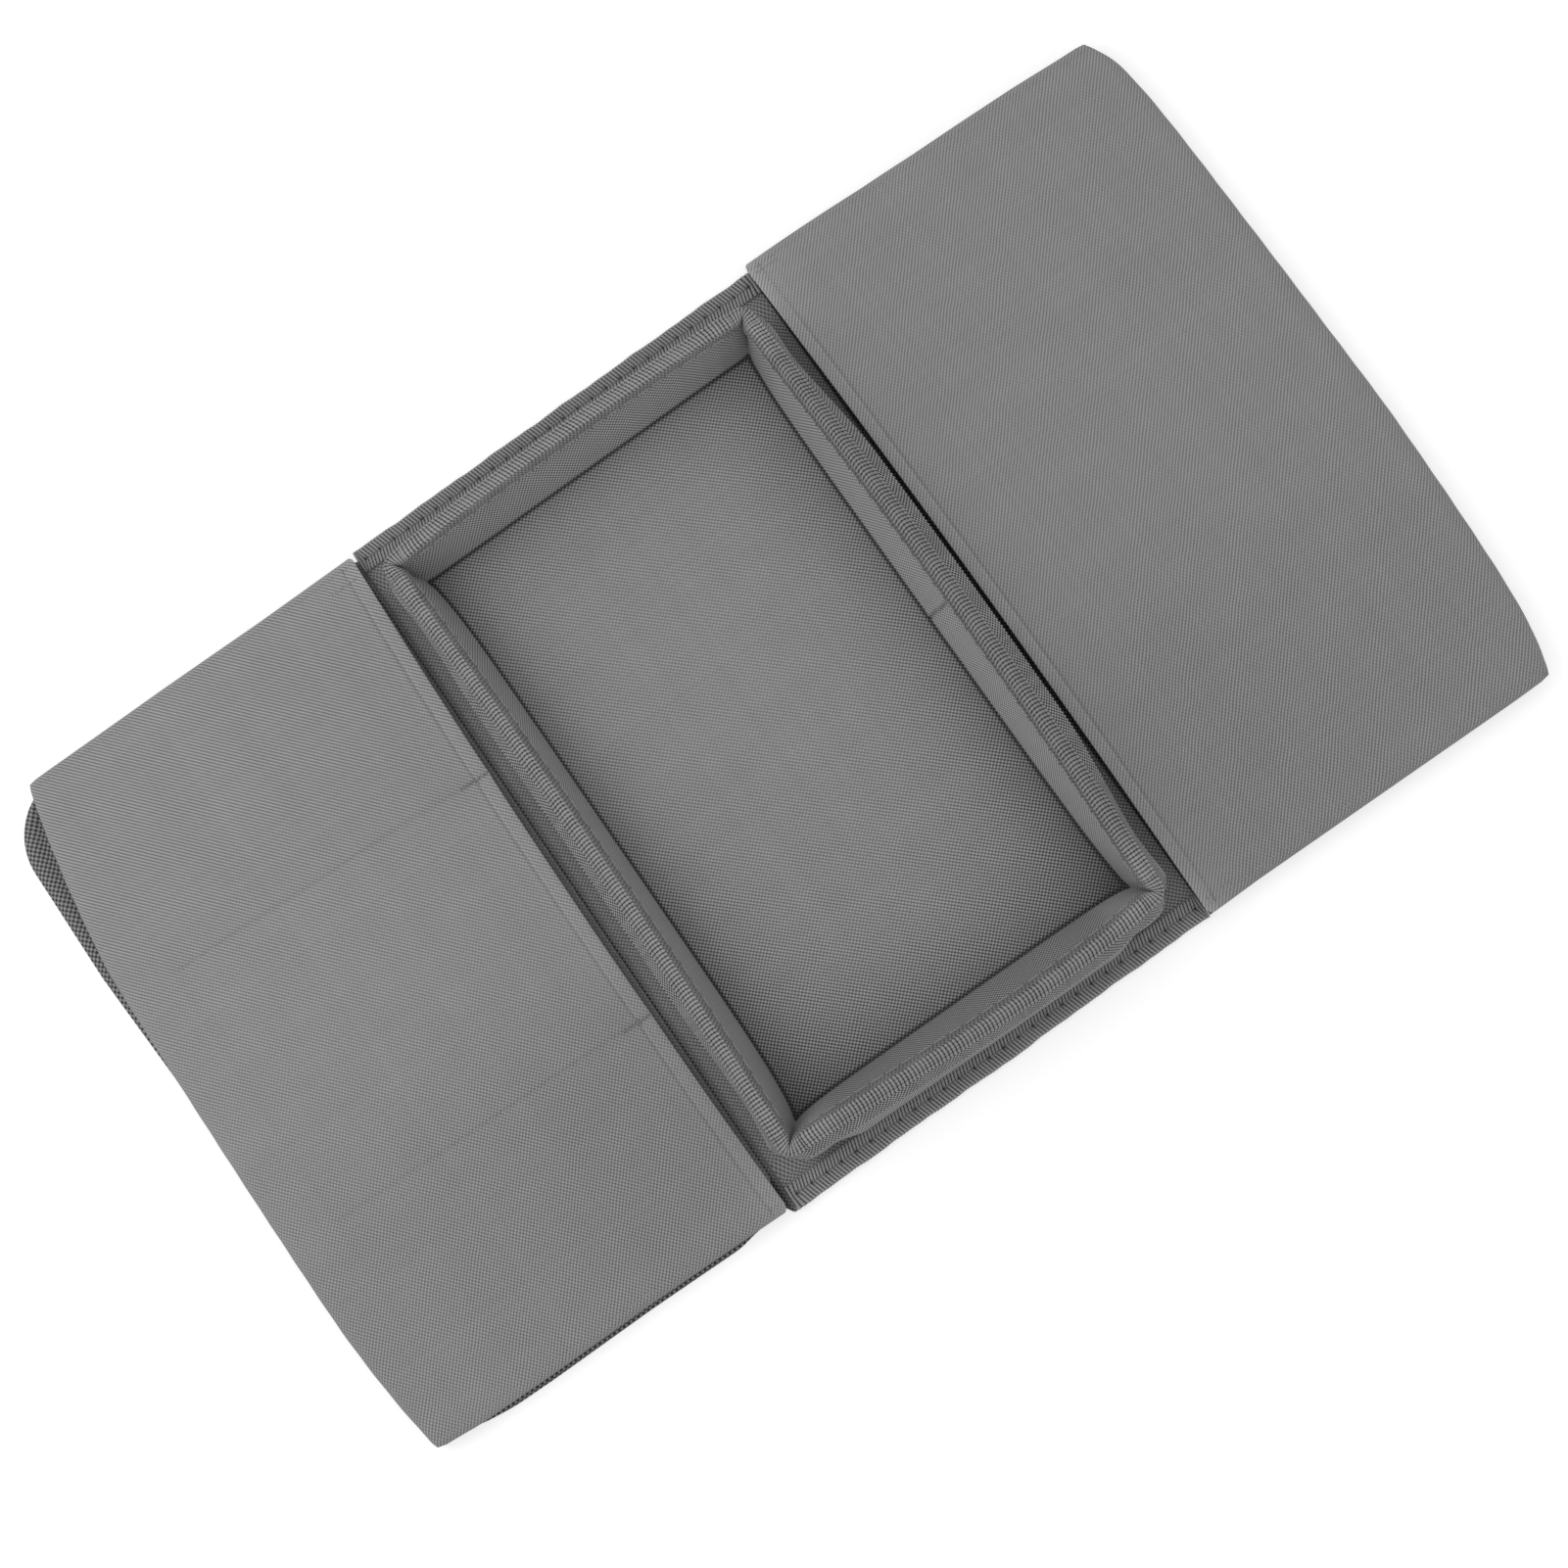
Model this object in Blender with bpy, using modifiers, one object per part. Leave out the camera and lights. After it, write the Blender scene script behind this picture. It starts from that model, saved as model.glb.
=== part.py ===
"""Sofa armrest tray in folded cloth: a shallow tray with a pocketed flap along each long side.

Metres, +Z up. The origin is on the table under the middle of the tray. +X points to the flap with
one wide pocket (right), -X to the flap with three pockets (left), +Y to the back short end.
"""
import math
from dataclasses import dataclass

import bpy
import bmesh
from mathutils import Vector

# Materials by thickness
CLOTH = 0.0006              # woven polyester cloth
RIM_TAPE = 0.0010           # ribbed tape folded over the walls
EDGE_TAPE = 0.0008          # ribbed tape folded round the base's short ends
FLOOR_BOARD = 0.0020        # plastic board under the tray
WALL_BOARD = 0.0020         # plastic boards that hold the walls up
INTERLINING = 0.0008        # felt inside the flaps
GAP = 0.0003                # clearance between pieces that touch

# Base
BASE_LENGTH = 0.3000        # along Y over the taped ends, at their corners
BASE_END = 0.0250           # base beyond the foot of each short wall
BASE_SIDE = 0.0189          # base between the foot of each long wall and the fold line
FOLD_STRIP = 0.0100         # cloth that bends at a fold line
BACK_END_BOW = 0.0028       # how far the taped ends swell at their middle
FRONT_END_BOW = 0.0022
EDGE_TAPE_WIDTH = 0.0098    # tape that shows on each face of a short end
EDGE_TAPE_STOP = 0.0015     # the tape stops this far inside the fold lines

# Tray well and its walls
WELL_WIDTH = 0.1512         # along X between the feet of the walls
TRAY_HEIGHT = 0.0275        # table to the top of the rim
SIDE_LEAN = 0.0039          # how far the long walls flare from foot to rim
END_LEAN = 0.0058           # the same for the short walls
RIGHT, BACK, LEFT, FRONT = range(4)
RIM_BOWS = {RIGHT: 0.0033, BACK: 0.0035, LEFT: -0.0017, FRONT: 0.0038}
FOOT_BOWS = {RIGHT: -0.0008, BACK: 0.0, LEFT: -0.0036, FRONT: -0.0017}
WELL_CORNER = 0.0020        # inner radius of the well's corners
RIM_INNER_LEG = 0.0034      # how far the rim tape reaches down the inner faces
RIM_OUTER_LEG = 0.0090      # and down the outer faces
RIM_TAPE_ROUND = 0.0022     # rounding of the folded tape
RIM_DIP = 0.0012            # the rim sinks this much where its corners are pinched
RIM_DIP_REACH = 0.0120      # length of wall over which it sinks
WALL_BOARD_STOP = 0.0060    # a wall's board stops this far from the corner
FLOOR_BOARD_CLEAR = 0.0050  # the floor's board stops this far inside the walls' feet
FLOOR_BOARD_ROUND = 0.0040
FLOOR_SLOPE = 0.0040        # the floor cloth falls to the base over this length

# Flaps
FLAP_INSET = 0.0005         # the rolled side edges stop this far inside the base's ends
POCKET_HEIGHT = 0.0083      # table to the top of a pocket at its mouth
EDGE_ROLL = 0.0030          # how far the pocket cloth rolls out past its side seams
HEM = 0.0070                # depth of the hem at a pocket's mouth
MOUTH_SLANT = 0.0050        # the mouth's ends run back this far from top to seam
DIVIDER_RUN = 0.0160        # a divider seam stops this far from the end seam
SEAM_ALLOWANCE = 0.0015     # back panel past the seam
LINING_START = 0.0015       # lining and felt start this far outside the fold line

# Fineness of the meshes
SIDE_STEPS = 10
WALL_LEVELS = 3
CORNER_STEPS = 4
ROLL_STEPS = 6
ROUND_STEPS = 3

# Positions that follow from the sizes
WELL_LENGTH = BASE_LENGTH - 2 * BASE_END
FOLD = WELL_WIDTH / 2 + BASE_SIDE
STRIP_INNER = FOLD - FOLD_STRIP / 2
STRIP_OUTER = FOLD + FOLD_STRIP / 2
BASE_EDGE = STRIP_INNER - GAP                       # long edges of the base cloths
EDGE_TAPE_TOP = 2 * (EDGE_TAPE + CLOTH) + 3 * GAP
COVER_END_Z = EDGE_TAPE + GAP                       # underside of the cover inside the tape
PANEL_END_Z = COVER_END_Z + CLOTH + GAP
PANEL_EDGE_Z = CLOTH + GAP                          # underside of the panel beside the folds
PANEL_WELL_Z = CLOTH + GAP + FLOOR_BOARD + GAP      # underside of the panel over the board
FOOT_Z = PANEL_WELL_Z + CLOTH + GAP
WALL_TOP_Z = TRAY_HEIGHT - RIM_TAPE - GAP
WALL_STACK = CLOTH + GAP + WALL_BOARD + GAP + CLOTH
FLAP_SEAM_Y = BASE_LENGTH / 2 - FLAP_INSET - EDGE_ROLL
SEAM_Z = CLOTH + GAP                                # underside of the pocket cloth at its seam
FELT_Z = CLOTH + GAP
LINING_Z = FELT_Z + INTERLINING + GAP
LINING_TOP = LINING_Z + CLOTH


@dataclass(frozen=True)
class Corner:
    """How the end of a flap falls back towards one corner."""
    start_share: float      # of the half width, where it begins
    drop: float             # at the side seam
    power: float


@dataclass(frozen=True)
class Flap:
    """One flap. Lengths run outwards from its fold line."""
    name: str
    side: int               # -1 left, +1 right
    seam_length: float      # to the end seam at the sides
    end_bow: float          # more at its middle
    end_roll: float         # how far the cloth rolls out past that seam
    roll_power: float       # how long it keeps that depth towards the corners
    crown: float            # rise of the pocket cloth at its middle
    far_corner: Corner      # at +Y
    near_corner: Corner     # at -Y
    mouth_start: float      # of the pocket's mouth, at its ends
    mouth_bow: float        # more at its middle
    mouth_flare: float      # how far the +Y side is pulled out at the mouth
    back_length: float      # to the middle of the back panel's end
    back_skew: float        # how much longer the back panel is towards +Y
    back_shift: float       # of the back panel along Y
    back_round: float       # of its outer corners
    dividers: tuple         # of Y places of divider seams
    colour: tuple


LEFT_FLAP = Flap(
    name="left", side=-1, seam_length=0.1600, end_bow=0.0013, end_roll=0.0070, roll_power=5.0, crown=0.0008,
    far_corner=Corner(start_share=0.43, drop=0.0082, power=1.3),
    near_corner=Corner(start_share=0.63, drop=0.0028, power=1.3),
    mouth_start=0.0008, mouth_bow=0.0024, mouth_flare=0.0,
    back_length=0.1679, back_skew=0.0046, back_shift=-0.0012, back_round=0.0220,
    dividers=(-0.0610, 0.0540), colour=(0.30, 0.30, 0.30))
RIGHT_FLAP = Flap(
    name="right", side=1, seam_length=0.1540, end_bow=0.0011, end_roll=0.0080, roll_power=10.0, crown=0.0012,
    far_corner=Corner(start_share=0.90, drop=0.0022, power=2.0),
    near_corner=Corner(start_share=0.30, drop=0.0050, power=1.7),
    mouth_start=-0.0010, mouth_bow=0.0018, mouth_flare=0.0034,
    back_length=0.1575, back_skew=0.0, back_shift=-0.0008, back_round=0.0220,
    dividers=(), colour=(0.28, 0.28, 0.28))

# Where the rows and columns of the cloth grids lie, as shares of the piece they belong to
ROW_SHARES = (0.14, 0.26, 0.40, 0.54, 0.68, 0.80)
COLUMN_SHARES = (-0.86, -0.5, 0.0, 0.5, 0.86)
OPEN_COLUMN_SHARES = (-0.95, -0.86, -0.74, -0.56, -0.38, -0.19, 0.0, 0.19, 0.38, 0.56, 0.74, 0.86, 0.95)
END_COLUMN_SHARES = (-0.985, -0.95, -0.9, -0.8, -0.6, -0.3, 0.0, 0.3, 0.6, 0.8, 0.9, 0.95, 0.985)
PUFF_POWER = 6              # how flat a pocket stays between its seams
FLARE_SHARE = 0.5           # share of a flap's length over which its mouth's flare runs out
FLARE_POWER = 4             # how little of the flare reaches the flap's middle
SKEW_SHARE = 0.5            # share of a back panel's half width over which its skew builds up

PARTS = "sofa_armrest_tray"


def clear_scene():
    """Removes every object, so that the model starts from nothing."""
    for obj in list(bpy.data.objects):
        bpy.data.objects.remove(obj, do_unlink=True)


def material(name, colour, roughness, metallic=0.0):
    """A plain finish for one piece."""
    mat = bpy.data.materials.new(name)
    mat.use_nodes = True
    shader = mat.node_tree.nodes["Principled BSDF"]
    shader.inputs["Base Color"].default_value = (*colour, 1.0)
    shader.inputs["Roughness"].default_value = roughness
    shader.inputs["Metallic"].default_value = metallic
    return mat


def add_piece(name, bm, colour, roughness=0.9, parent=None):
    """Turns a bmesh into a named object in the parts collection, hung on its parent empty."""
    mesh = bpy.data.meshes.new(name)
    bm.to_mesh(mesh)
    bm.free()
    mesh.materials.append(material(name, colour, roughness))
    obj = bpy.data.objects.new(name, mesh)
    bpy.data.collections[PARTS].objects.link(obj)
    if parent is not None:
        obj.parent = parent
        mesh.transform(parent.matrix_world.inverted())
    return obj


def solidify(obj, thickness, offset):
    """Gives an open sheet its thickness, to the side that its normals point to or away from."""
    wall = obj.modifiers.new("thickness", "SOLIDIFY")
    wall.thickness = thickness
    wall.offset = offset
    wall.use_even_offset = True
    return wall


def grid_of(columns, rows):
    """A flat unit grid with this many columns and rows of points, and each point's address."""
    bm = bmesh.new()
    column_of = bm.verts.layers.int.new("column")
    row_of = bm.verts.layers.int.new("row")
    bmesh.ops.create_grid(bm, x_segments=columns - 1, y_segments=rows - 1, size=0.5)
    address = {}
    for vert in bm.verts:
        vert[column_of] = round((vert.co.x + 0.5) * (columns - 1))
        vert[row_of] = round((vert.co.y + 0.5) * (rows - 1))
        address[vert] = (vert[column_of], vert[row_of])
    return bm, address


def formed_sheet(name, xs, ys, place, thickness, colour, parent=None):
    """A sheet on grid lines xs and ys, whose underside lies where place(x, y) says."""
    bm, address = grid_of(len(xs), len(ys))
    for vert, (column, row) in address.items():
        vert.co = place(xs[column], ys[row])
    face_up(bm)
    obj = add_piece(name, bm, colour, parent=parent)
    solidify(obj, thickness, 1.0)
    return obj


def face_out(bm):
    """Turns the faces of a closed body outwards."""
    bmesh.ops.recalc_face_normals(bm, faces=bm.faces)
    if bm.calc_volume(signed=True) < 0:
        bmesh.ops.reverse_faces(bm, faces=bm.faces)


def face_up(bm):
    """Turns the faces of an open sheet the same way, most of them upwards."""
    bmesh.ops.recalc_face_normals(bm, faces=bm.faces)
    bm.normal_update()
    if sum(face.normal.z * face.calc_area() for face in bm.faces if abs(face.normal.z) > 0.5) < 0:
        bmesh.ops.reverse_faces(bm, faces=bm.faces)


def wrapped_grid(loops):
    """A closed ring skin through loops of points, joined round and across."""
    columns, rows = len(loops), len(loops[0])
    bm, address = grid_of(columns + 1, rows + 1)
    for vert, (column, row) in address.items():
        vert.co = loops[column % columns][row % rows]
    bmesh.ops.remove_doubles(bm, verts=bm.verts, dist=GAP / 1000)
    face_out(bm)
    return bm


def formed_box(cuts, levels, place):
    """A box cut across its length and height, whose corners lie where place(along, out, up) says."""
    bm = bmesh.new()
    bmesh.ops.create_cube(bm, size=1.0)
    for axis, count in ((0, cuts), (2, levels)):
        long_edges = [edge for edge in bm.edges
                      if abs(edge.verts[0].co[axis] - edge.verts[1].co[axis]) > 0.5]
        bmesh.ops.subdivide_edges(bm, edges=long_edges, cuts=count, use_grid_fill=True)
    for vert in bm.verts:
        vert.co = place(2 * vert.co.x, vert.co.y + 0.5, vert.co.z + 0.5)
    face_out(bm)
    return bm


def mix(low, high, share):
    """The value this share of the way from low to high."""
    return low + (high - low) * share


def ramp(value, start, end):
    """0 before start, 1 past end, and straight between."""
    return min(1.0, max(0.0, (value - start) / (end - start)))


# The walls: every ring and board is placed by its offset from the well's inner face

def wall_share(z):
    """Height as a share of the wall, 0 at its foot and 1 at its top."""
    return (z - FOOT_Z) / (WALL_TOP_Z - FOOT_Z)


def wall_run(side, share):
    """Half the straight length of a wall, at this share of its height."""
    ends = (WELL_LENGTH / 2 + END_LEAN * share, WELL_WIDTH / 2 + SIDE_LEAN * share)
    return ends[side % 2] - WELL_CORNER


def wall_point(side, along, offset, z):
    """A point of a wall: along runs from -1 to 1 between its corners, offset outwards."""
    share = wall_share(z)
    depth = (WELL_WIDTH / 2 + SIDE_LEAN * share, WELL_LENGTH / 2 + END_LEAN * share)[side % 2]
    bow = mix(FOOT_BOWS[side], RIM_BOWS[side], share) * (1 - along ** 2)
    run = wall_run(side, share)
    dip = RIM_DIP * share * ramp(abs(along), 1 - RIM_DIP_REACH / run, 1) ** 2
    angle = side * math.pi / 2
    outward = Vector((math.cos(angle), math.sin(angle), 0))
    forward = Vector((-math.sin(angle), math.cos(angle), 0))
    return outward * (depth + offset + bow) + forward * (run * along) + Vector((0, 0, z - dip))


def corner_point(side, turn, offset, z):
    """A point of the rounded corner after a wall: turn runs from 0 to 1."""
    start = wall_point(side, 1, -WELL_CORNER, z)
    angle = (side + turn) * math.pi / 2
    return start + (WELL_CORNER + offset) * Vector((math.cos(angle), math.sin(angle), 0))


def wall_ring(name, section, colour):
    """A closed ring round the well, from a section of (offset, z) points."""
    loops = []
    for offset, z in section:
        loop = []
        for side in (RIGHT, BACK, LEFT, FRONT):
            loop += [wall_point(side, along, offset, z) for along in side_places()]
            loop += [corner_point(side, step / CORNER_STEPS, offset, z) for step in range(1, CORNER_STEPS)]
        loops.append(loop)
    obj = add_piece(name, wrapped_grid(loops), colour)
    smooth(obj)
    return obj


def side_places():
    """Where the stations of a wall lie, from -1 to 1, closer together at its ends."""
    return [math.sin(mix(-math.pi, math.pi, step / SIDE_STEPS) / 2) for step in range(SIDE_STEPS + 1)]


def smooth(obj):
    """Shades a curved piece smooth between its real edges."""
    obj.data.shade_smooth()
    obj.data.set_sharp_from_angle(angle=math.radians(40))


def wall_cloths():
    """The lining inside the well, the cover outside, and their boards between them."""
    grey = (0.27, 0.27, 0.27)
    for name, inside in (("wall_lining", 0), ("wall_outer_cover", WALL_STACK - CLOTH)):
        levels = [mix(FOOT_Z, WALL_TOP_Z, step / WALL_LEVELS) for step in range(WALL_LEVELS + 1)]
        section = [(inside, z) for z in levels] + [(inside + CLOTH, z) for z in levels[::-1]]
        wall_ring(name, section, grey)


def wall_boards():
    """The four boards that stand between the wall's two cloths."""
    names = {RIGHT: "right_wall_board", BACK: "back_wall_board",
             LEFT: "left_wall_board", FRONT: "front_wall_board"}
    for side, name in names.items():
        def place(along, out, up, side=side):
            z = mix(FOOT_Z, WALL_TOP_Z, up)
            reach = 1 - WALL_BOARD_STOP / wall_run(side, wall_share(z))
            return wall_point(side, along * reach, CLOTH + GAP + WALL_BOARD * out, z)
        add_piece(name, formed_box(SIDE_STEPS - 1, WALL_LEVELS - 1, place), (0.75, 0.75, 0.73), roughness=0.6)


def rim_binding():
    """The ribbed tape folded over the top of the walls, all the way round."""
    inner, outer = -GAP, WALL_STACK + GAP
    inner_low, outer_low, high = TRAY_HEIGHT - RIM_INNER_LEG, TRAY_HEIGHT - RIM_OUTER_LEG, TRAY_HEIGHT
    left, right = inner - RIM_TAPE, outer + RIM_TAPE
    section = [(left, inner_low)]
    for start, centre in ((math.pi, left + RIM_TAPE_ROUND), (math.pi / 2, right - RIM_TAPE_ROUND)):
        for step in range(ROUND_STEPS + 1):
            angle = start - step / ROUND_STEPS * math.pi / 2
            section.append((centre + RIM_TAPE_ROUND * math.cos(angle),
                            high - RIM_TAPE_ROUND + RIM_TAPE_ROUND * math.sin(angle)))
    section += [(right, outer_low), (outer, outer_low), (outer, high - RIM_TAPE)]
    section += [(inner, high - RIM_TAPE), (inner, inner_low)]
    wall_ring("rim_binding", section, (0.36, 0.36, 0.36))


# The base: two cloths with a board between them, bound at the short ends

def end_bow(x, y):
    """How far the short end at this side of the base swells, at this x."""
    bow = BACK_END_BOW if y > 0 else FRONT_END_BOW
    return math.copysign(bow * (1 - (x / FOLD) ** 2), y)


def tape_line():
    """Where the tape on a short end begins, before its bow."""
    return BASE_LENGTH / 2 - EDGE_TAPE_WIDTH


def base_columns():
    """Grid lines of the base cloths along X."""
    slope = well_edge(RIGHT) + FLOOR_SLOPE
    half = [BASE_EDGE, slope, well_edge(RIGHT), WELL_WIDTH / 3, WELL_WIDTH / 6]
    return [-x for x in half] + [0] + half[::-1]


def well_edge(side):
    """The floor cloth is raised as far as the outermost foot of a wall."""
    half = (WELL_WIDTH / 2, WELL_LENGTH / 2)[side % 2]
    bows = [FOOT_BOWS[side], FOOT_BOWS[(side + 2) % 4], 0]
    return half + max(bows) + WALL_STACK + GAP


def base_rows():
    """Grid lines of the base cloths along Y."""
    end = (BASE_LENGTH - EDGE_TAPE_TOP) / 2
    slope = well_edge(BACK) + FLOOR_SLOPE
    half = [end, tape_line(), mix(tape_line(), slope, 0.5), slope, well_edge(BACK)]
    return [-y for y in half] + [0] + half[::-1]


def base_place(x, y, z):
    """A point of a base cloth, carried out with the bow of the short ends."""
    outside = ramp(abs(y), well_edge(BACK) + FLOOR_SLOPE, mix(tape_line(), well_edge(BACK) + FLOOR_SLOPE, 0.5))
    return Vector((x, y + end_bow(x, y) * outside, z))


def tape_rise(y):
    """0 on the open base and 1 under the tape of a short end."""
    return ramp(abs(y), mix(tape_line(), well_edge(BACK) + FLOOR_SLOPE, 0.5), tape_line())


def base_cloths():
    """The non-slip cloth underneath and the cloth of the tray's floor."""
    def cover_place(x, y):
        return base_place(x, y, COVER_END_Z * tape_rise(y))

    def panel_place(x, y):
        outside = max(ramp(abs(x), well_edge(RIGHT), well_edge(RIGHT) + FLOOR_SLOPE),
                      ramp(abs(y), well_edge(BACK), well_edge(BACK) + FLOOR_SLOPE))
        low = mix(PANEL_EDGE_Z, PANEL_END_Z, tape_rise(y))
        return base_place(x, y, mix(PANEL_WELL_Z, low, outside))

    formed_sheet("tray_base_cover", base_columns(), base_rows(), cover_place, CLOTH, (0.20, 0.20, 0.20))
    formed_sheet("tray_floor_panel", base_columns(), base_rows(), panel_place, CLOTH, (0.26, 0.26, 0.26))


def floor_board():
    """The stiff board under the tray's floor, with rounded corners."""
    bm = bmesh.new()
    bmesh.ops.create_cube(bm, size=1.0)
    size = Vector((WELL_WIDTH - 2 * FLOOR_BOARD_CLEAR, WELL_LENGTH - 2 * FLOOR_BOARD_CLEAR, FLOOR_BOARD))
    bmesh.ops.scale(bm, vec=size, verts=bm.verts)
    bmesh.ops.translate(bm, vec=(0, 0, CLOTH + GAP + FLOOR_BOARD / 2), verts=bm.verts)
    upright = [edge for edge in bm.edges if abs(edge.verts[0].co.z - edge.verts[1].co.z) > FLOOR_BOARD / 2]
    bmesh.ops.bevel(bm, geom=upright, offset=FLOOR_BOARD_ROUND, segments=CORNER_STEPS, affect="EDGES",
                    profile=0.5)
    add_piece("tray_floor_board", bm, (0.75, 0.75, 0.73), roughness=0.6)


def base_binding(name, side):
    """The ribbed tape folded round one short end of the base."""
    round_off = EDGE_TAPE_TOP / 2
    end = BASE_LENGTH / 2
    section = [(tape_line(), EDGE_TAPE_TOP)]
    for step in range(ROUND_STEPS * 2 + 1):
        angle = math.pi / 2 - step / (ROUND_STEPS * 2) * math.pi
        section.append((end - round_off + round_off * math.cos(angle), round_off + round_off * math.sin(angle)))
    section.append((tape_line(), 0))
    half = FOLD - EDGE_TAPE_STOP
    bm, address = grid_of(2 * SIDE_STEPS + 1, len(section))
    for vert, (column, row) in address.items():
        x = mix(-half, half, column / (2 * SIDE_STEPS))
        y, z = section[row]
        vert.co = (x, side * y + end_bow(x, side), z)
    bmesh.ops.recalc_face_normals(bm, faces=bm.faces)
    bm.normal_update()
    top = max(bm.faces, key=lambda face: face.calc_center_median().z)
    if top.normal.z < 0:
        bmesh.ops.reverse_faces(bm, faces=bm.faces)
    obj = add_piece(name, bm, (0.22, 0.22, 0.22))
    solidify(obj, EDGE_TAPE, -1.0)
    smooth(obj)


# The flaps: felt and a lining on a back panel, under a puffed pocket cloth

def fold_axis(flap):
    """The empty on a flap's fold line, which carries the pieces that swing."""
    axis = bpy.data.objects.new(flap.name + "_fold_axis", None)
    bpy.data.collections[PARTS].objects.link(axis)
    axis.location = (flap.side * FOLD, 0, 0)
    bpy.context.view_layer.update()
    return axis


def outwards(flap, distance):
    """The x that lies this far outside a flap's fold line."""
    return flap.side * (FOLD + distance)


def seam_end(flap, y):
    """How far the end seam lies from the fold line, at this y."""
    corner = flap.far_corner if y > 0 else flap.near_corner
    share = ramp(abs(y), corner.start_share * FLAP_SEAM_Y, FLAP_SEAM_Y)
    bow = flap.end_bow * (1 - (y / FLAP_SEAM_Y) ** 2)
    return flap.seam_length + bow - corner.drop * share ** corner.power


def flare(flap, y, share):
    """How far a flap's +Y side is pulled out, at this share of its length from the mouth."""
    return flap.mouth_flare * (1 - ramp(share, 0, FLARE_SHARE) ** 2) * ramp(y, 0, FLAP_SEAM_Y) ** FLARE_POWER


def back_end(flap, y):
    """How far the end of the back panel lies from the fold line, at this y from its middle line."""
    reach = SKEW_SHARE * FLAP_SEAM_Y
    length = flap.back_length + flap.back_skew * (2 * ramp(y, -reach, reach) - 1)
    inside = abs(y) - (FLAP_SEAM_Y + SEAM_ALLOWANCE - flap.back_round)
    if inside <= 0:
        return length
    return length - flap.back_round + math.sqrt(max(0, flap.back_round ** 2 - inside ** 2))


def end_columns(half):
    """Lines across a flap, closer together at its corners."""
    return [-half] + [share * half for share in END_COLUMN_SHARES] + [half]


def fold_strip(flap):
    """The bare cloth that bends between the base and a flap."""
    full = FLAP_SEAM_Y + SEAM_ALLOWANCE
    waist = tape_line() - GAP
    halves = {-FOLD_STRIP / 2: waist, GAP - EDGE_TAPE_STOP: waist, 0.0: full,
              FOLD_STRIP / 4: full, FOLD_STRIP / 2: full}

    def place(distance, share):
        return Vector((outwards(flap, distance), halves[distance] * share, 0))
    formed_sheet(flap.name + "_fold_strip", list(halves), [-1, -0.5, 0, 0.5, 1], place, CLOTH, flap.colour)


def flap_back(flap, axis):
    """The cloth that lies on the sofa's arm."""
    def place(share, y):
        start = FOLD_STRIP / 2 + GAP
        x = outwards(flap, mix(start, back_end(flap, y), share))
        return Vector((x, y + flap.back_shift + flare(flap, y, share), 0))
    formed_sheet(flap.name + "_flap_back", [0, 0.5, 1], end_columns(FLAP_SEAM_Y + SEAM_ALLOWANCE), place,
                 CLOTH, flap.colour, parent=axis)


def flap_filling(flap, axis):
    """The felt in a flap and the lining at the back of its pockets."""
    def sheet(name, z, thickness, colour):
        def place(share, y):
            x = outwards(flap, mix(LINING_START, seam_end(flap, y) - CLOTH - 2 * GAP, share))
            return Vector((x, y, z))
        formed_sheet(flap.name + name, [0, 0.5, 1], end_columns(FLAP_SEAM_Y - CLOTH - 2 * GAP), place,
                     thickness, colour, parent=axis)
    sheet("_flap_felt", FELT_Z, INTERLINING, (0.55, 0.55, 0.55))
    sheet("_flap_lining", LINING_Z, CLOTH, flap.colour)


def pocket_columns(flap):
    """Lines across the pocket cloth between its side seams, with each pocket's bounds."""
    bounds = [-FLAP_SEAM_Y, *flap.dividers, FLAP_SEAM_Y]
    lines = []
    shares = COLUMN_SHARES if flap.dividers else OPEN_COLUMN_SHARES
    for low, high in zip(bounds, bounds[1:]):
        middle, half = (low + high) / 2, (high - low) / 2
        lines.append(low)
        lines += [middle + half * share for share in shares]
    return lines + [FLAP_SEAM_Y]


def pocket_rows(flap):
    """Shares of the way from the mouth to the end seam, with the hem's line and the dividers' ends."""
    length = flap.seam_length
    run_out = 1 - DIVIDER_RUN / length
    return [0, HEM / length, HEM / length + 2 * CLOTH / length, *ROW_SHARES, run_out, (1 + run_out) / 2, 1]


def pocket_thickness(row):
    """The hem is two cloths thick."""
    return 2 * CLOTH if row < 2 else CLOTH


def pocket_top(flap, share, y, row):
    """Height of the pocket cloth's upper face at this share of its length."""
    high = POCKET_HEIGHT + flap.crown * math.sin(math.pi * share) * (1 - (y / FLAP_SEAM_Y) ** 2)
    if not flap.dividers:
        return high
    sewn = LINING_TOP + GAP + pocket_thickness(row)
    bounds = [-FLAP_SEAM_Y, *flap.dividers, FLAP_SEAM_Y]
    low, top = next((low, top) for low, top in zip(bounds, bounds[1:]) if y <= top)
    across = (2 * y - low - top) / (top - low)
    at_divider = (low if across < 0 else top) in flap.dividers
    run_out = 1 - DIVIDER_RUN / flap.seam_length
    dip = abs(across) ** PUFF_POWER * (1 - ramp(share, run_out, 1)) if at_divider else 0
    return mix(high, sewn, dip)


def roll_depth(flap, y):
    """How far the pocket cloth rolls out past the end seam."""
    return mix(flap.end_roll, EDGE_ROLL, abs(y / FLAP_SEAM_Y) ** flap.roll_power)


def mouth(flap, y):
    """Where the pocket's mouth lies, outwards from the fold line."""
    return flap.mouth_start + flap.mouth_bow * (1 - (y / FLAP_SEAM_Y) ** 2)


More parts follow.
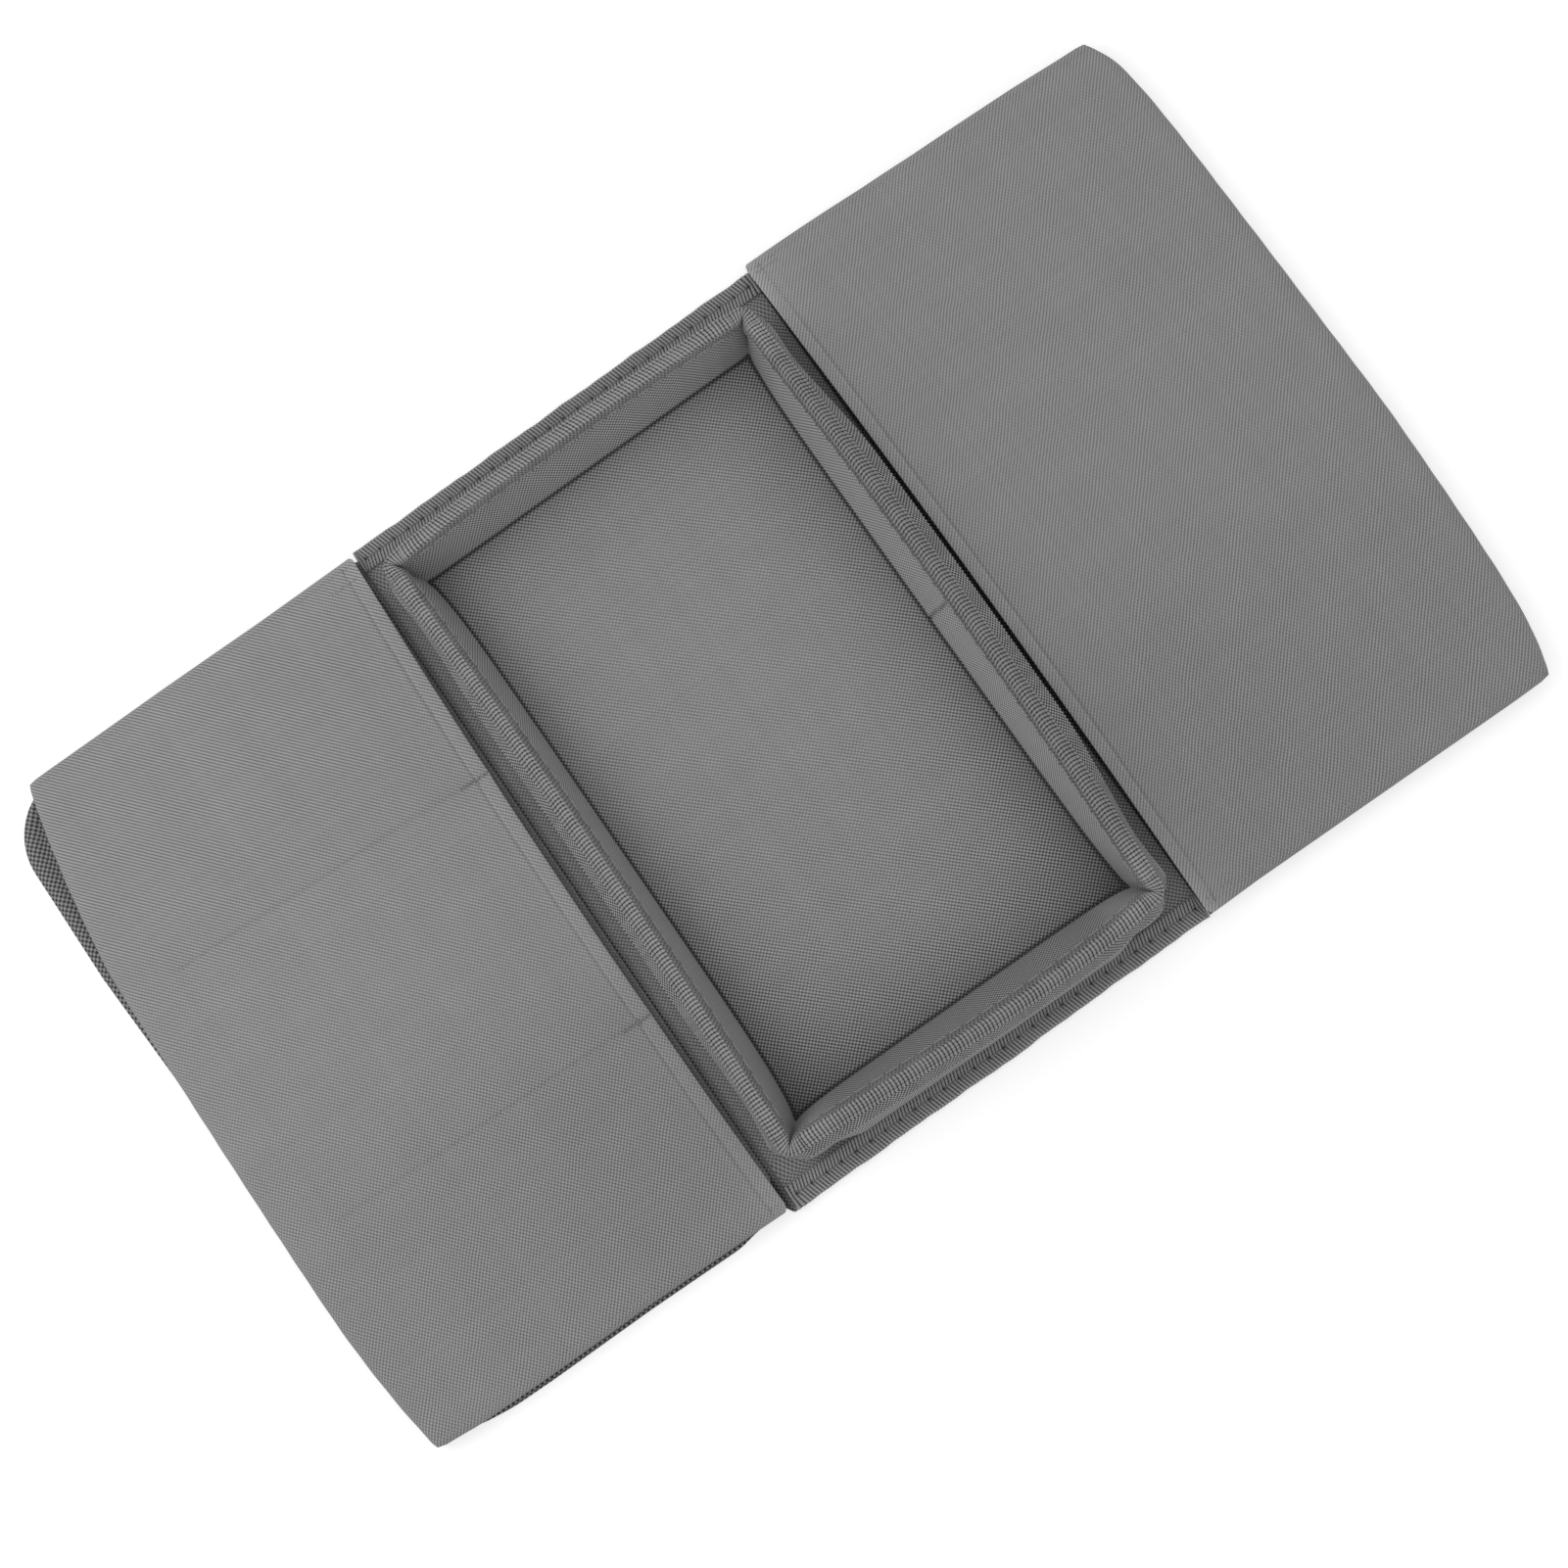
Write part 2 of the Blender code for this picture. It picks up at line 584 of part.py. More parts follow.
def pocket_panel(flap, axis):
    """The pocket cloth: puffed between its seams, and rolled round to the back panel at its edges."""
    ys, shares = pocket_columns(flap), pocket_rows(flap)
    bm, address = grid_of(len(ys), len(shares))
    column_of, row_of = bm.verts.layers.int["column"], bm.verts.layers.int["row"]
    last_column, last_row = len(ys) - 1, len(shares) - 1

    def flat_place(column, row):
        y = ys[column]
        x = outwards(flap, mix(mouth(flap, y), seam_end(flap, y), shares[row]))
        return Vector((x, y + flare(flap, y, shares[row])))

    for vert, (column, row) in address.items():
        vert.co = (*flat_place(column, row), pocket_top(flap, shares[row], ys[column], row))

    def sewn(vert):
        return vert[column_of] in (0, last_column) or vert[row_of] == last_row

    path = [(0, row) for row in range(last_row + 1)]
    path += [(column, last_row) for column in range(1, last_column + 1)]
    path += [(last_column, row) for row in range(last_row - 1, -1, -1)]

    def outward_at(spot):
        """The level direction out of the seam, square to it."""
        index = path.index(spot)
        before, after = path[max(index - 1, 0)], path[min(index + 1, len(path) - 1)]
        along = (flat_place(*after) - flat_place(*before)).normalized()
        return Vector((along.y, -along.x)) * flap.side

    def roll_place(spot, step):
        """A point on the rolled edge, from the top of the pocket round to the seam."""
        column, row = spot
        angle = math.pi / 2 - math.pi * step / ROLL_STEPS
        top = pocket_top(flap, shares[row], ys[column], row)
        foot = SEAM_Z + CLOTH * (1 + math.sin(angle)) / 2
        at_end = row == last_row and 0 < column < last_column
        depth = roll_depth(flap, ys[column]) if at_end else EDGE_ROLL
        fall = (1 - math.sin(angle)) / 2
        back = MOUTH_SLANT * fall * (1 - ramp(shares[row], 0, ROW_SHARES[0]))
        flat = flat_place(column, row) + outward_at(spot) * depth * math.cos(angle)
        flat.x += flap.side * back
        return Vector((*flat, mix(top, foot, fall)))

    rim = [edge for edge in bm.edges if edge.is_boundary and all(sewn(vert) for vert in edge.verts)]
    rim = [edge for edge in rim if not all(vert[row_of] == 0 for vert in edge.verts)]
    for step in range(1, ROLL_STEPS + 1):
        grown = bmesh.ops.extrude_edge_only(bm, edges=rim)["geom"]
        for item in grown:
            if isinstance(item, bmesh.types.BMVert):
                item.co = roll_place((item[column_of], item[row_of]), step)
        rim = [item for item in grown if isinstance(item, bmesh.types.BMEdge) and item.is_boundary
               and all(vert in grown for vert in item.verts)]
    bmesh.ops.recalc_face_normals(bm, faces=bm.faces)
    bm.normal_update()
    middle = min(bm.faces, key=lambda face: (face.calc_center_median() - Vector(
        (outwards(flap, flap.seam_length / 2), 0, POCKET_HEIGHT))).length)
    if middle.normal.z < 0:
        bmesh.ops.reverse_faces(bm, faces=bm.faces)
    bm.verts.index_update()
    hem = [vert.index for vert in bm.verts if vert[row_of] < 2]
    obj = add_piece(flap.name + "_pocket_panel", bm, flap.colour, parent=axis)
    wall = solidify(obj, 2 * CLOTH, -1.0)
    obj.vertex_groups.new(name="hem").add(hem, 1.0, "REPLACE")
    wall.vertex_group = "hem"
    wall.thickness_vertex_group = 0.5
    smooth(obj)


def build_flap(flap):
    """One flap with all its pieces."""
    axis = fold_axis(flap)
    fold_strip(flap)
    flap_back(flap, axis)
    flap_filling(flap, axis)
    pocket_panel(flap, axis)


def build():
    """The whole tray."""
    clear_scene()
    bpy.context.scene.collection.children.link(bpy.data.collections.new(PARTS))
    base_cloths()
    floor_board()
    wall_cloths()
    wall_boards()
    rim_binding()
    base_binding("back_base_binding", 1)
    base_binding("front_base_binding", -1)
    for flap in (LEFT_FLAP, RIGHT_FLAP):
        build_flap(flap)


build()
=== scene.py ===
"""Looks of a folded cloth tray for a sofa's arm: woven cloths, ribbed tapes, stitching, light and camera.

Metres, +Z up. The origin is on the table under the middle of the tray. +X points to the flap with one
wide pocket (right), -X to the flap with three pockets (left), +Y to the back short end.
"""
import logging
import math
from contextlib import contextmanager
from dataclasses import dataclass, field
from enum import Enum
from typing import Callable, Iterator, Optional, Sequence

import bmesh
import bpy
import numpy as np
from mathutils import Matrix, Vector


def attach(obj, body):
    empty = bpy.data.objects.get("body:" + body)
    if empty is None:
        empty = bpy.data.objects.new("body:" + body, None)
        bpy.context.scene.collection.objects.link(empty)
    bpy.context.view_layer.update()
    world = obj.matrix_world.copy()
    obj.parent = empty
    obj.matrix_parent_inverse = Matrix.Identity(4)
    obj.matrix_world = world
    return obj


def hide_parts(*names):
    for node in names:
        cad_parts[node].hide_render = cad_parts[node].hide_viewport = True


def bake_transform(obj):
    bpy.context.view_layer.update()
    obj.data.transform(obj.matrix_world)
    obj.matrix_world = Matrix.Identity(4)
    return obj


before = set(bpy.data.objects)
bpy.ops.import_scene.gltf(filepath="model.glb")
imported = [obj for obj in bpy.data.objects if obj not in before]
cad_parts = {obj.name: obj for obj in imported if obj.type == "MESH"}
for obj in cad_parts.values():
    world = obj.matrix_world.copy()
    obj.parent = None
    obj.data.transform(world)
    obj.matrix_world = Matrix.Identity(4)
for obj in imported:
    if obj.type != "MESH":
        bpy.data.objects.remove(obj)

log = logging.getLogger("armrest_tray")
CLOTH_MAP = "cloth"         # every cloth's own map, in metres along and across its yarns
SHADE = "shade"             # painted shade: how much darker a point of a cloth is drawn than the rest; below 0, painted light
PLAIN = "plain"             # how far a tape's ribs are pressed flat at a point
DOTTED = "dotted"           # how far they give way to single dots
SMOOTH_DEGREES = 50.0       # edges sharper than this stay sharp

Piece = bpy.types.Object
Material = bpy.types.Material
Socket = bpy.types.NodeSocket
Input = Socket | float
Array = np.ndarray
Values = float | Array          # one number, or one for each place


@dataclass(frozen=True)
class TraySizes:
    """Sizes that several pieces share, in metres, as the solids of the tray have them."""

    cloth: float = 0.0006
    rim_tape: float = 0.0010
    edge_tape: float = 0.0008
    floor_board: float = 0.0020
    wall_board: float = 0.0020
    interlining: float = 0.0008
    gap: float = 0.0003
    base_length: float = 0.3000
    base_end: float = 0.0250
    base_side: float = 0.0189
    fold_strip: float = 0.0100
    edge_tape_width: float = 0.0098
    well_width: float = 0.1512
    height: float = 0.0275
    flap_inset: float = 0.0005
    edge_roll: float = 0.0030

    @property
    def well_length(self) -> float:
        """Length of the well between the feet of its short walls."""
        return self.base_length - 2 * self.base_end

    @property
    def fold(self) -> float:
        """Distance of a fold line from the middle of the tray."""
        return self.well_width / 2 + self.base_side

    @property
    def edge_tape_top(self) -> float:
        """Height of the taped short ends."""
        return 2 * (self.edge_tape + self.cloth) + 3 * self.gap

    @property
    def foot_z(self) -> float:
        """Height of the walls' foot."""
        return 2 * self.cloth + 3 * self.gap + self.floor_board

    @property
    def wall_top_z(self) -> float:
        """Height of the walls' cloths under the rim tape."""
        return self.height - self.rim_tape - self.gap

    @property
    def wall_stack(self) -> float:
        """Thickness of a wall: two cloths with a board between them."""
        return 2 * (self.cloth + self.gap) + self.wall_board

    @property
    def tape_line(self) -> float:
        """Where the tape on a short end begins, before its bow."""
        return self.base_length / 2 - self.edge_tape_width

    @property
    def flap_seam_y(self) -> float:
        """Half the length of a flap between its side seams."""
        return self.base_length / 2 - self.flap_inset - self.edge_roll

    @property
    def lining_z(self) -> float:
        """Height of the underside of a flap's lining."""
        return self.cloth + self.interlining + 2 * self.gap

    @property
    def lining_top(self) -> float:
        """Height of the upper face of a flap's lining."""
        return self.lining_z + self.cloth


class Side(Enum):
    """The four walls, in turn round the well."""

    RIGHT = 0
    BACK = 1
    LEFT = 2
    FRONT = 3


class Hold(Enum):
    """How a sheet of cloth is held."""

    STRETCHED = "stretched"
    FOLDED = "folded"


def mix(low: Values, high: Values, share: Values) -> Values:
    """The value this share of the way from low to high."""
    return low + (high - low) * share


def ramp(value: Values, start: Values, end: Values) -> Values:
    """0 before start, 1 past end, and straight between."""
    return np.clip((np.asarray(value, float) - start) / (end - start), 0, 1)


def ease(value: Values, start: Values, end: Values) -> Values:
    """0 before start, 1 past end, and smooth between."""
    share = ramp(value, start, end)
    return share * share * (3 - 2 * share)


def bump_at(value: Values, centre: Values, reach: float) -> Values:
    """A smooth hump, 1 at its centre and gone two reaches away."""
    return np.exp(-((np.asarray(value, float) - centre) / reach) ** 2)


def lines_between(low: float, high: float, step: float, fine: Sequence[float] = (),
                  fine_steps: Sequence[float] = (0.0003, 0.0007, 0.0012)) -> Array:
    """Grid lines a step apart, with close ones beside every fine line.

    Args:
        low: First line.
        high: Last line.
        step: Distance between ordinary lines.
        fine: Places that need close lines.
        fine_steps: Distances of the close lines from such a place.

    Returns:
        The lines in rising order.
    """
    count = max(2, round((high - low) / step) + 1)
    lines = list(np.linspace(low, high, count))
    for place in fine:
        near = [place] + [place + sign * reach for reach in fine_steps for sign in (-1, 1)]
        lines = [line for line in lines if abs(line - place) > fine_steps[-1] * 1.4 or line in (low, high)]
        lines += [line for line in near if low + 0.0001 < line < high - 0.0001]
    return np.array(sorted(set(lines)))


def run_lengths(points: Array) -> Array:
    """Length along a path of points, from its start to each point."""
    steps = np.linalg.norm(np.diff(points, axis=0), axis=1)
    return np.concatenate([[0.0], np.cumsum(steps)])


def wander(value: Values, *waves: tuple) -> Array:
    """A sum of waves, each of (length, height, phase), for cloth that isn't quite straight."""
    return sum(height * np.sin(np.asarray(value, float) * (2 * math.pi / length) + phase)
               for length, height, phase in waves)


def at_place(table: Sequence[tuple], place: Values) -> Values:
    """Reads a table of (place, value) at these places."""
    return np.interp(place, *zip(*table))


def new_piece(name: str, mesh: bpy.types.Mesh) -> Piece:
    """Puts a mesh into the scene as a piece.

    Args:
        name: The piece's name.
        mesh: Its mesh.

    Returns:
        The new object.
    """
    piece = bpy.data.objects.new(name, mesh)
    bpy.context.scene.collection.objects.link(piece)
    return piece


def smooth(mesh: bpy.types.Mesh, degrees: float = SMOOTH_DEGREES) -> None:
    """Shades a mesh smooth, except over edges sharper than this."""
    mesh.shade_smooth()
    mesh.set_sharp_from_angle(angle=math.radians(degrees))


@contextmanager
def opened(piece: Piece) -> Iterator[bmesh.types.BMesh]:
    """Opens a piece's mesh for changes, and writes it back.

    Args:
        piece: The piece.

    Yields:
        Its mesh, to change.
    """
    bm = bmesh.new()
    bm.from_mesh(piece.data)
    yield bm
    bm.to_mesh(piece.data)
    bm.free()


def face_out(piece: Piece, recalculated: bool = True) -> None:
    """Turns a closed piece's faces outwards.

    Args:
        piece: The piece.
        recalculated: Whether its faces have to be turned the same way first.
    """
    with opened(piece) as bm:
        if recalculated:
            bmesh.ops.recalc_face_normals(bm, faces=bm.faces)
        if bm.calc_volume(signed=True) < 0:
            bmesh.ops.reverse_faces(bm, faces=bm.faces)


def mesh_piece(name: str, points: Array, quads: Array, corner_uv: Array,
               degrees: float = SMOOTH_DEGREES) -> Piece:
    """Makes a piece from its points, faces and cloth map.

    Args:
        name: The piece's name.
        points: Its points, one row each.
        quads: Four point numbers for each face.
        corner_uv: The place on the cloth of each face's corners.
        degrees: Edges sharper than this stay sharp.

    Returns:
        The new object, in the scene.
    """
    mesh = bpy.data.meshes.new(name)
    mesh.from_pydata(points.reshape(-1, 3).tolist(), [], quads.tolist())
    layer = mesh.uv_layers.new(name=CLOTH_MAP)
    layer.data.foreach_set("uv", np.ascontiguousarray(corner_uv, dtype=np.float32).ravel())
    smooth(mesh, degrees)
    return new_piece(name, mesh)


def quads_of(index: Array) -> Array:
    """The four point numbers of each face between the points of a grid of numbers."""
    return np.stack([index[:-1, :-1], index[:-1, 1:], index[1:, 1:], index[1:, :-1]], 2)


def grid_piece(name: str, points: Array, uv: Array, close_along: bool = False,
               close_across: bool = False, flip: bool = False) -> Piece:
    """Makes a piece from a grid of points.

    Args:
        name: The piece's name.
        points: Rows of points across, each row along the piece.
        uv: The place on the cloth of each point, with one more row or column where the grid closes.
        close_along: Joins each row's last point to its first.
        close_across: Joins the last row to the first.
        flip: Turns the faces over.

    Returns:
        The new object.
    """
    rows, columns = points.shape[:2]
    index = np.arange(rows * columns).reshape(rows, columns)
    if close_across:
        index = np.vstack([index, index[:1]])
    if close_along:
        index = np.hstack([index, index[:, :1]])
    quads, corners = quads_of(index).reshape(-1, 4), quads_of(uv).reshape(-1, 4, 2)
    if flip:
        quads, corners = quads[:, ::-1], corners[:, ::-1]
    return mesh_piece(name, points, quads, corners)


def select_only(piece: Piece) -> None:
    """Makes this the one selected and active object.

    Args:
        piece: The piece.
    """
    bpy.ops.object.select_all(action="DESELECT")
    piece.select_set(True)
    bpy.context.view_layer.objects.active = piece


def thicken(piece: Piece, thickness: float, offset: float,
            doubled: Sequence[int] = ()) -> Piece:
    """Gives an open sheet its thickness and applies it.

    Args:
        piece: The sheet.
        thickness: Of the cloth, in metres.
        offset: 1 grows it to the side its faces point to, -1 to the other.
        doubled: Points where the cloth lies double.

    Returns:
        The same piece.
    """
    select_only(piece)
    wall = piece.modifiers.new("thickness", "SOLIDIFY")
    wall.thickness = thickness
    wall.offset = offset
    wall.use_even_offset = False
    if len(doubled):
        piece.vertex_groups.new(name="double").add([int(index) for index in doubled], 1.0, "REPLACE")
        wall.thickness = 2 * thickness
        wall.vertex_group = "double"
        wall.thickness_vertex_group = 0.5
    bpy.ops.object.modifier_apply(modifier=wall.name)
    smooth(piece.data)
    return piece


def paint(piece: Piece, name: str, values: Array) -> None:
    """Stores a number for each point of a piece, which its finish reads."""
    layer = piece.data.attributes.new(name, "FLOAT", "POINT")
    layer.data.foreach_set("value", np.ascontiguousarray(values, dtype=np.float32).ravel())


def dress(piece: Piece, finish: Material) -> None:
    """Gives a piece its finish.

    Args:
        piece: The piece.
        finish: Its material.
    """
    piece.data.materials.clear()
    piece.data.materials.append(finish)


def fit(piece: Piece, finish: Material, slot: str, body: str, *nodes: str) -> None:
    """Dresses a piece, lets it ride on its body and puts it in its solids' place.

    Args:
        piece: The piece.
        finish: Its material.
        slot: Not used.
        body: The body that it rides on.
        nodes: The solids that it stands for.
    """
    dress(piece, finish)
    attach(piece, body)
    if nodes:
        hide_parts(*nodes)


def dress_solid(name: str, finish: Material) -> None:
    """Gives one of the frame's own solids a better material."""
    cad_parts[name].data.materials.clear()
    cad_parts[name].data.materials.append(finish)


class NodeTree:
    """Adds and joins the nodes of a material or a world."""

    def __init__(self, tree: bpy.types.NodeTree) -> None:
        """Works on this tree."""
        self.tree = tree

    def add(self, kind: str, **settings: object) -> bpy.types.Node:
        """Adds a node.

        Args:
            kind: Its type.
            settings: Its settings.

        Returns:
            The new node.
        """
        node = self.tree.nodes.new(kind)
        for name, value in settings.items():
            setattr(node, name, value)
        return node

    def link(self, source: Socket, target: Socket) -> None:
        """Joins two sockets."""
        self.tree.links.new(source, target)

    def feed(self, socket: Socket, value: Input) -> None:
        """Joins a socket to another, or sets its number.

        Args:
            socket: The socket to feed.
            value: The other socket, or the number.
        """
        if isinstance(value, (int, float)):
            socket.default_value = value
        else:
            self.link(value, socket)

    def math(self, operation: str, *values: Input) -> Socket:
        """Adds a Math node.

        Args:
            operation: What it works out.
            values: Its inputs.

        Returns:
            Its result.
        """
        node = self.add("ShaderNodeMath", operation=operation)
        for socket, value in zip(node.inputs, values):
            self.feed(socket, value)
        return node.outputs[0]

    def between(self, low: Input, high: Input, share: Input) -> Socket:
        """The value this share of the way from low to high."""
        return self.math("MULTIPLY_ADD", self.math("SUBTRACT", high, low), share, low)

    def varied(self, value: Input, chance: Socket, amount: float) -> Socket:
        """A value moved up or down by this much of a number from 0 to 1."""
        return self.math("MULTIPLY_ADD", self.math("SUBTRACT", chance, 0.5), amount, value)


class NodeBuilder(NodeTree):
    """Lays out the nodes of one material."""

    def __init__(self, name: str) -> None:
        """Starts an empty material with one Principled shader.

        Args:
            name: The material's name.
        """
        self.material = bpy.data.materials.new(name)
        self.material.use_nodes = True
        super().__init__(self.material.node_tree)
        self.shader = self.tree.nodes["Principled BSDF"]

    def cloth_place(self) -> tuple:
        """Reads the place on the cloth.

        Returns:
            The vector, and its two parts in metres.
        """
        place = self.add("ShaderNodeUVMap", uv_map=CLOTH_MAP).outputs[0]
        parts = self.add("ShaderNodeSeparateXYZ")
        self.link(place, parts.inputs[0])
        return place, parts.outputs[0], parts.outputs[1]

    def object_place(self) -> Socket:
        """The place on the object."""
        return self.add("ShaderNodeTexCoord").outputs["Object"]

    def noise(self, place: Socket, scale: float, detail: float = 2.0, roughness: float = 0.5) -> Socket:
        """Adds soft noise.

        Args:
            place: Where it is read.
            scale: Waves a metre.
            detail: How many finer layers it has.
            roughness: How strong these are.

        Returns:
            Its value, from 0 to 1.
        """
        node = self.add("ShaderNodeTexNoise")
        node.inputs["Scale"].default_value = scale
        node.inputs["Detail"].default_value = detail
        node.inputs["Roughness"].default_value = roughness
        self.link(place, node.inputs["Vector"])
        return node.outputs[0]

    def chance(self, value: Socket) -> Socket:
        """A number from 0 to 1 drawn for each value.

        Args:
            value: The value that it is drawn for.

        Returns:
            The number.
        """
        node = self.add("ShaderNodeTexWhiteNoise", noise_dimensions="1D")
        self.link(value, node.inputs["W"])
        return node.outputs[0]

    def stored(self, name: str) -> Socket:
        """A number that a piece's points store, or 0 where they store none."""
        return self.add("ShaderNodeAttribute", attribute_name=name).outputs["Fac"]

    def tone(self, dark: float, light: float, share: Socket) -> None:
        """Colours the shader between two greys, then scales it by the points' painted shade, which lightens
        it below 0.

        Args:
            dark: The grey at share 0.
            light: The grey at share 1.
            share: The share at each place.
        """
        node = self.add("ShaderNodeMix", data_type="RGBA", clamp_factor=True)
        self.link(share, node.inputs["Factor"])
        node.inputs["A"].default_value = (dark, dark, dark, 1)
        node.inputs["B"].default_value = (light, light, light, 1)
        scaled = self.add("ShaderNodeVectorMath", operation="SCALE")
        self.link(node.outputs["Result"], scaled.inputs[0])
        self.link(self.math("SUBTRACT", 1.0, self.stored(SHADE)), scaled.inputs["Scale"])
        self.link(scaled.outputs[0], self.shader.inputs["Base Color"])

    def relief(self, height: Socket, depth: float) -> None:
        """Bumps the surface.

        Args:
            height: Share of the depth at each place.
            depth: Height of the bumps, in metres.
        """
        node = self.add("ShaderNodeBump")
        node.inputs["Distance"].default_value = depth
        node.inputs["Strength"].default_value = 1.0
        self.link(height, node.inputs["Height"])
        self.link(node.outputs[0], self.shader.inputs["Normal"])

    def matt(self, roughness: float, sheen: float, specular: float = 0.25) -> None:
        """Sets a dry surface with a soft sheen.

        Args:
            roughness: Of the surface.
            sheen: How much soft sheen it has.
            specular: How much it reflects.
        """
        self.shader.inputs["Roughness"].default_value = roughness
        self.shader.inputs["Sheen Weight"].default_value = sheen
        self.shader.inputs["Sheen Roughness"].default_value = 0.5
        self.shader.inputs["Specular IOR Level"].default_value = specular


@dataclass(frozen=True)
class WeaveFinish:
    """Plain-woven polyester cloth, with its yarns along its own map."""

    name: str
    dark: float
    light: float
    yarn_along: float = 0.000800
    yarn_across: float = 0.000909
    depth: float = 0.00018
    contrast: float = 0.35
    deepened: float = 1.2           # how much more contrast a fully shaded place has
    rows: float = 0.10              # how much each warp yarn stands out by itself
    lean: float = 0.50              # how the dots join up: 0 along one diagonal, 1 along the other; a stronger diagonal is the weave's look plus painted light from one side
    lean_turn: float = 0.0          # change of that for each metre across
    streaks: float = 0.035          # how much single yarns differ
    mottle: float = 0.10            # how cloudy the cloth is
    drift_yarns: float = 0.8        # how many yarns the weave wanders
    drift_waves: float = 70.0       # waves a metre, as the next two
    cloud_waves: float = 45.0
    fibre_waves: float = 5200.0
    sheen: float = 0.05

    def make(self) -> Material:
        """Builds the material.

        Returns:
            A cloth with a light dot wherever a warp yarn passes over a weft yarn.
        """
        nodes = NodeBuilder(self.name)
        place, along, across = nodes.cloth_place()
        wave = nodes.noise(place, self.drift_waves, 1.0)
        drift = nodes.math("MULTIPLY", nodes.math("SUBTRACT", wave, 0.5), self.drift_yarns)
        column = nodes.math("ADD", nodes.math("DIVIDE", along, self.yarn_along), drift)
        row = nodes.math("SUBTRACT", nodes.math("DIVIDE", across, self.yarn_across), drift)
        rising = self.diagonal(nodes, nodes.math("ADD", column, row))
        falling = self.diagonal(nodes, nodes.math("SUBTRACT", column, row))
        lean = nodes.math("MULTIPLY_ADD", across, self.lean_turn, self.lean)
        lean = nodes.math("MINIMUM", nodes.math("MAXIMUM", lean, 0.05), 0.95)
        deep = nodes.math("MAXIMUM", nodes.stored(SHADE), 0.0)
        evened = nodes.math("MINIMUM", nodes.math("MULTIPLY", deep, 3.0), 1.0)
        # Painted shade evens out the painted light from one side.
        lean = nodes.between(lean, 0.5, evened)
        dots = nodes.between(falling, rising, lean)
        contrast = nodes.math("MULTIPLY_ADD", deep, self.deepened, self.contrast)
        share = nodes.math("MULTIPLY_ADD", dots, contrast, 0.5)
        own_row = nodes.math("COSINE", nodes.math("MULTIPLY", column, 2 * math.pi))
        share = nodes.math("MULTIPLY_ADD", own_row, self.rows, share)
        warp = nodes.chance(nodes.math("FLOOR", nodes.math("ADD", column, 0.5)))
        weft = nodes.chance(nodes.math("FLOOR", nodes.math("ADD", row, 4000.5)))
        share = nodes.varied(nodes.varied(share, warp, self.streaks), weft, self.streaks)
        share = nodes.varied(share, nodes.noise(place, self.cloud_waves, 3.0, 0.6), self.mottle)
        nodes.tone(self.dark, self.light, share)
        fibres = nodes.noise(place, self.fibre_waves, 1.0)
        height = nodes.math("MULTIPLY_ADD", nodes.math("ADD", rising, falling), 0.25, 0.5)
        nodes.relief(nodes.math("MULTIPLY_ADD", fibres, 0.12, height), self.depth)
        nodes.matt(0.88, self.sheen)
        return nodes.material

    def diagonal(self, nodes: NodeBuilder, yarns: Socket) -> Socket:
        """A wave from -1 to 1 along one of the weave's diagonals, one for each two yarns."""
        return nodes.math("COSINE", nodes.math("MULTIPLY", yarns, math.pi))


@dataclass(frozen=True)
class TapeFinish:
    """Ribbed webbing tape. Its ribs are in the mesh, and its yarns are here."""

    name: str
    dark: float
    light: float
    rib: float
    cord: float = 0.0015
    knot: float = 0.38              # how much a rib sinks between its cords
    dot_along: float = 0.0008       # yarns of the tape's plain parts
    dot_across: float = 0.00085
    depth: float = 0.00022
    groove: float = 1.0             # painted shade: how dark the grooves between the ribs are drawn
    sheen: float = 0.05

    def make(self) -> Material:
        """Builds the material.

        Returns:
            A tape whose ribs are crossed by cords, with painted shade in the grooves between them.
        """
        nodes = NodeBuilder(self.name)
        place, along, across = nodes.cloth_place()
        ribs = nodes.math("DIVIDE", along, self.rib)
        number = nodes.math("FLOOR", ribs)
        part = nodes.math("SUBTRACT", ribs, number)
        crest = nodes.math("MULTIPLY", nodes.math("MULTIPLY", part, nodes.math("SUBTRACT", 1.0, part)), 4.0)
        odd = nodes.math("MODULO", number, 2.0)
        cords = nodes.math("ADD", nodes.math("DIVIDE", across, self.cord), nodes.math("MULTIPLY", odd, 0.1))
        turn = nodes.math("COSINE", nodes.math("MULTIPLY", cords, 2 * math.pi))
        knots = nodes.math("MULTIPLY_ADD", turn, 0.5, 0.5)
        height = nodes.math("MULTIPLY", nodes.math("POWER", crest, 0.7),
                            nodes.math("MULTIPLY_ADD", knots, self.knot, 1 - self.knot))
        columns = nodes.math("COSINE", nodes.math("MULTIPLY", along, math.pi / self.dot_along))
        rows = nodes.math("COSINE", nodes.math("MULTIPLY", across, math.pi / self.dot_across))
        dots = nodes.math("MULTIPLY_ADD", nodes.math("MULTIPLY", columns, rows), 0.55, 0.47)
        height = nodes.between(height, dots, nodes.stored(DOTTED))
        pressed = nodes.math("MULTIPLY_ADD", dots, 0.55, 0.19)
        height = nodes.between(height, pressed, nodes.stored(PLAIN))
        # Painted shade: the lower the tape's surface, the darker it is drawn.
        share = nodes.math("MULTIPLY_ADD", nodes.math("SUBTRACT", height, 0.48), self.groove * 2, 0.5)
        share = nodes.varied(share, nodes.chance(number), 0.20)
        share = nodes.between(share, pressed, nodes.stored(PLAIN))
        share = nodes.varied(share, nodes.noise(place, 120.0, 2.0), 0.25)
        nodes.tone(self.dark, self.light, share)
        fibres = nodes.noise(place, 3600.0, 1.0)
        nodes.relief(nodes.math("MULTIPLY_ADD", fibres, 0.15, height), self.depth)
        nodes.matt(0.85, self.sheen)
        return nodes.material


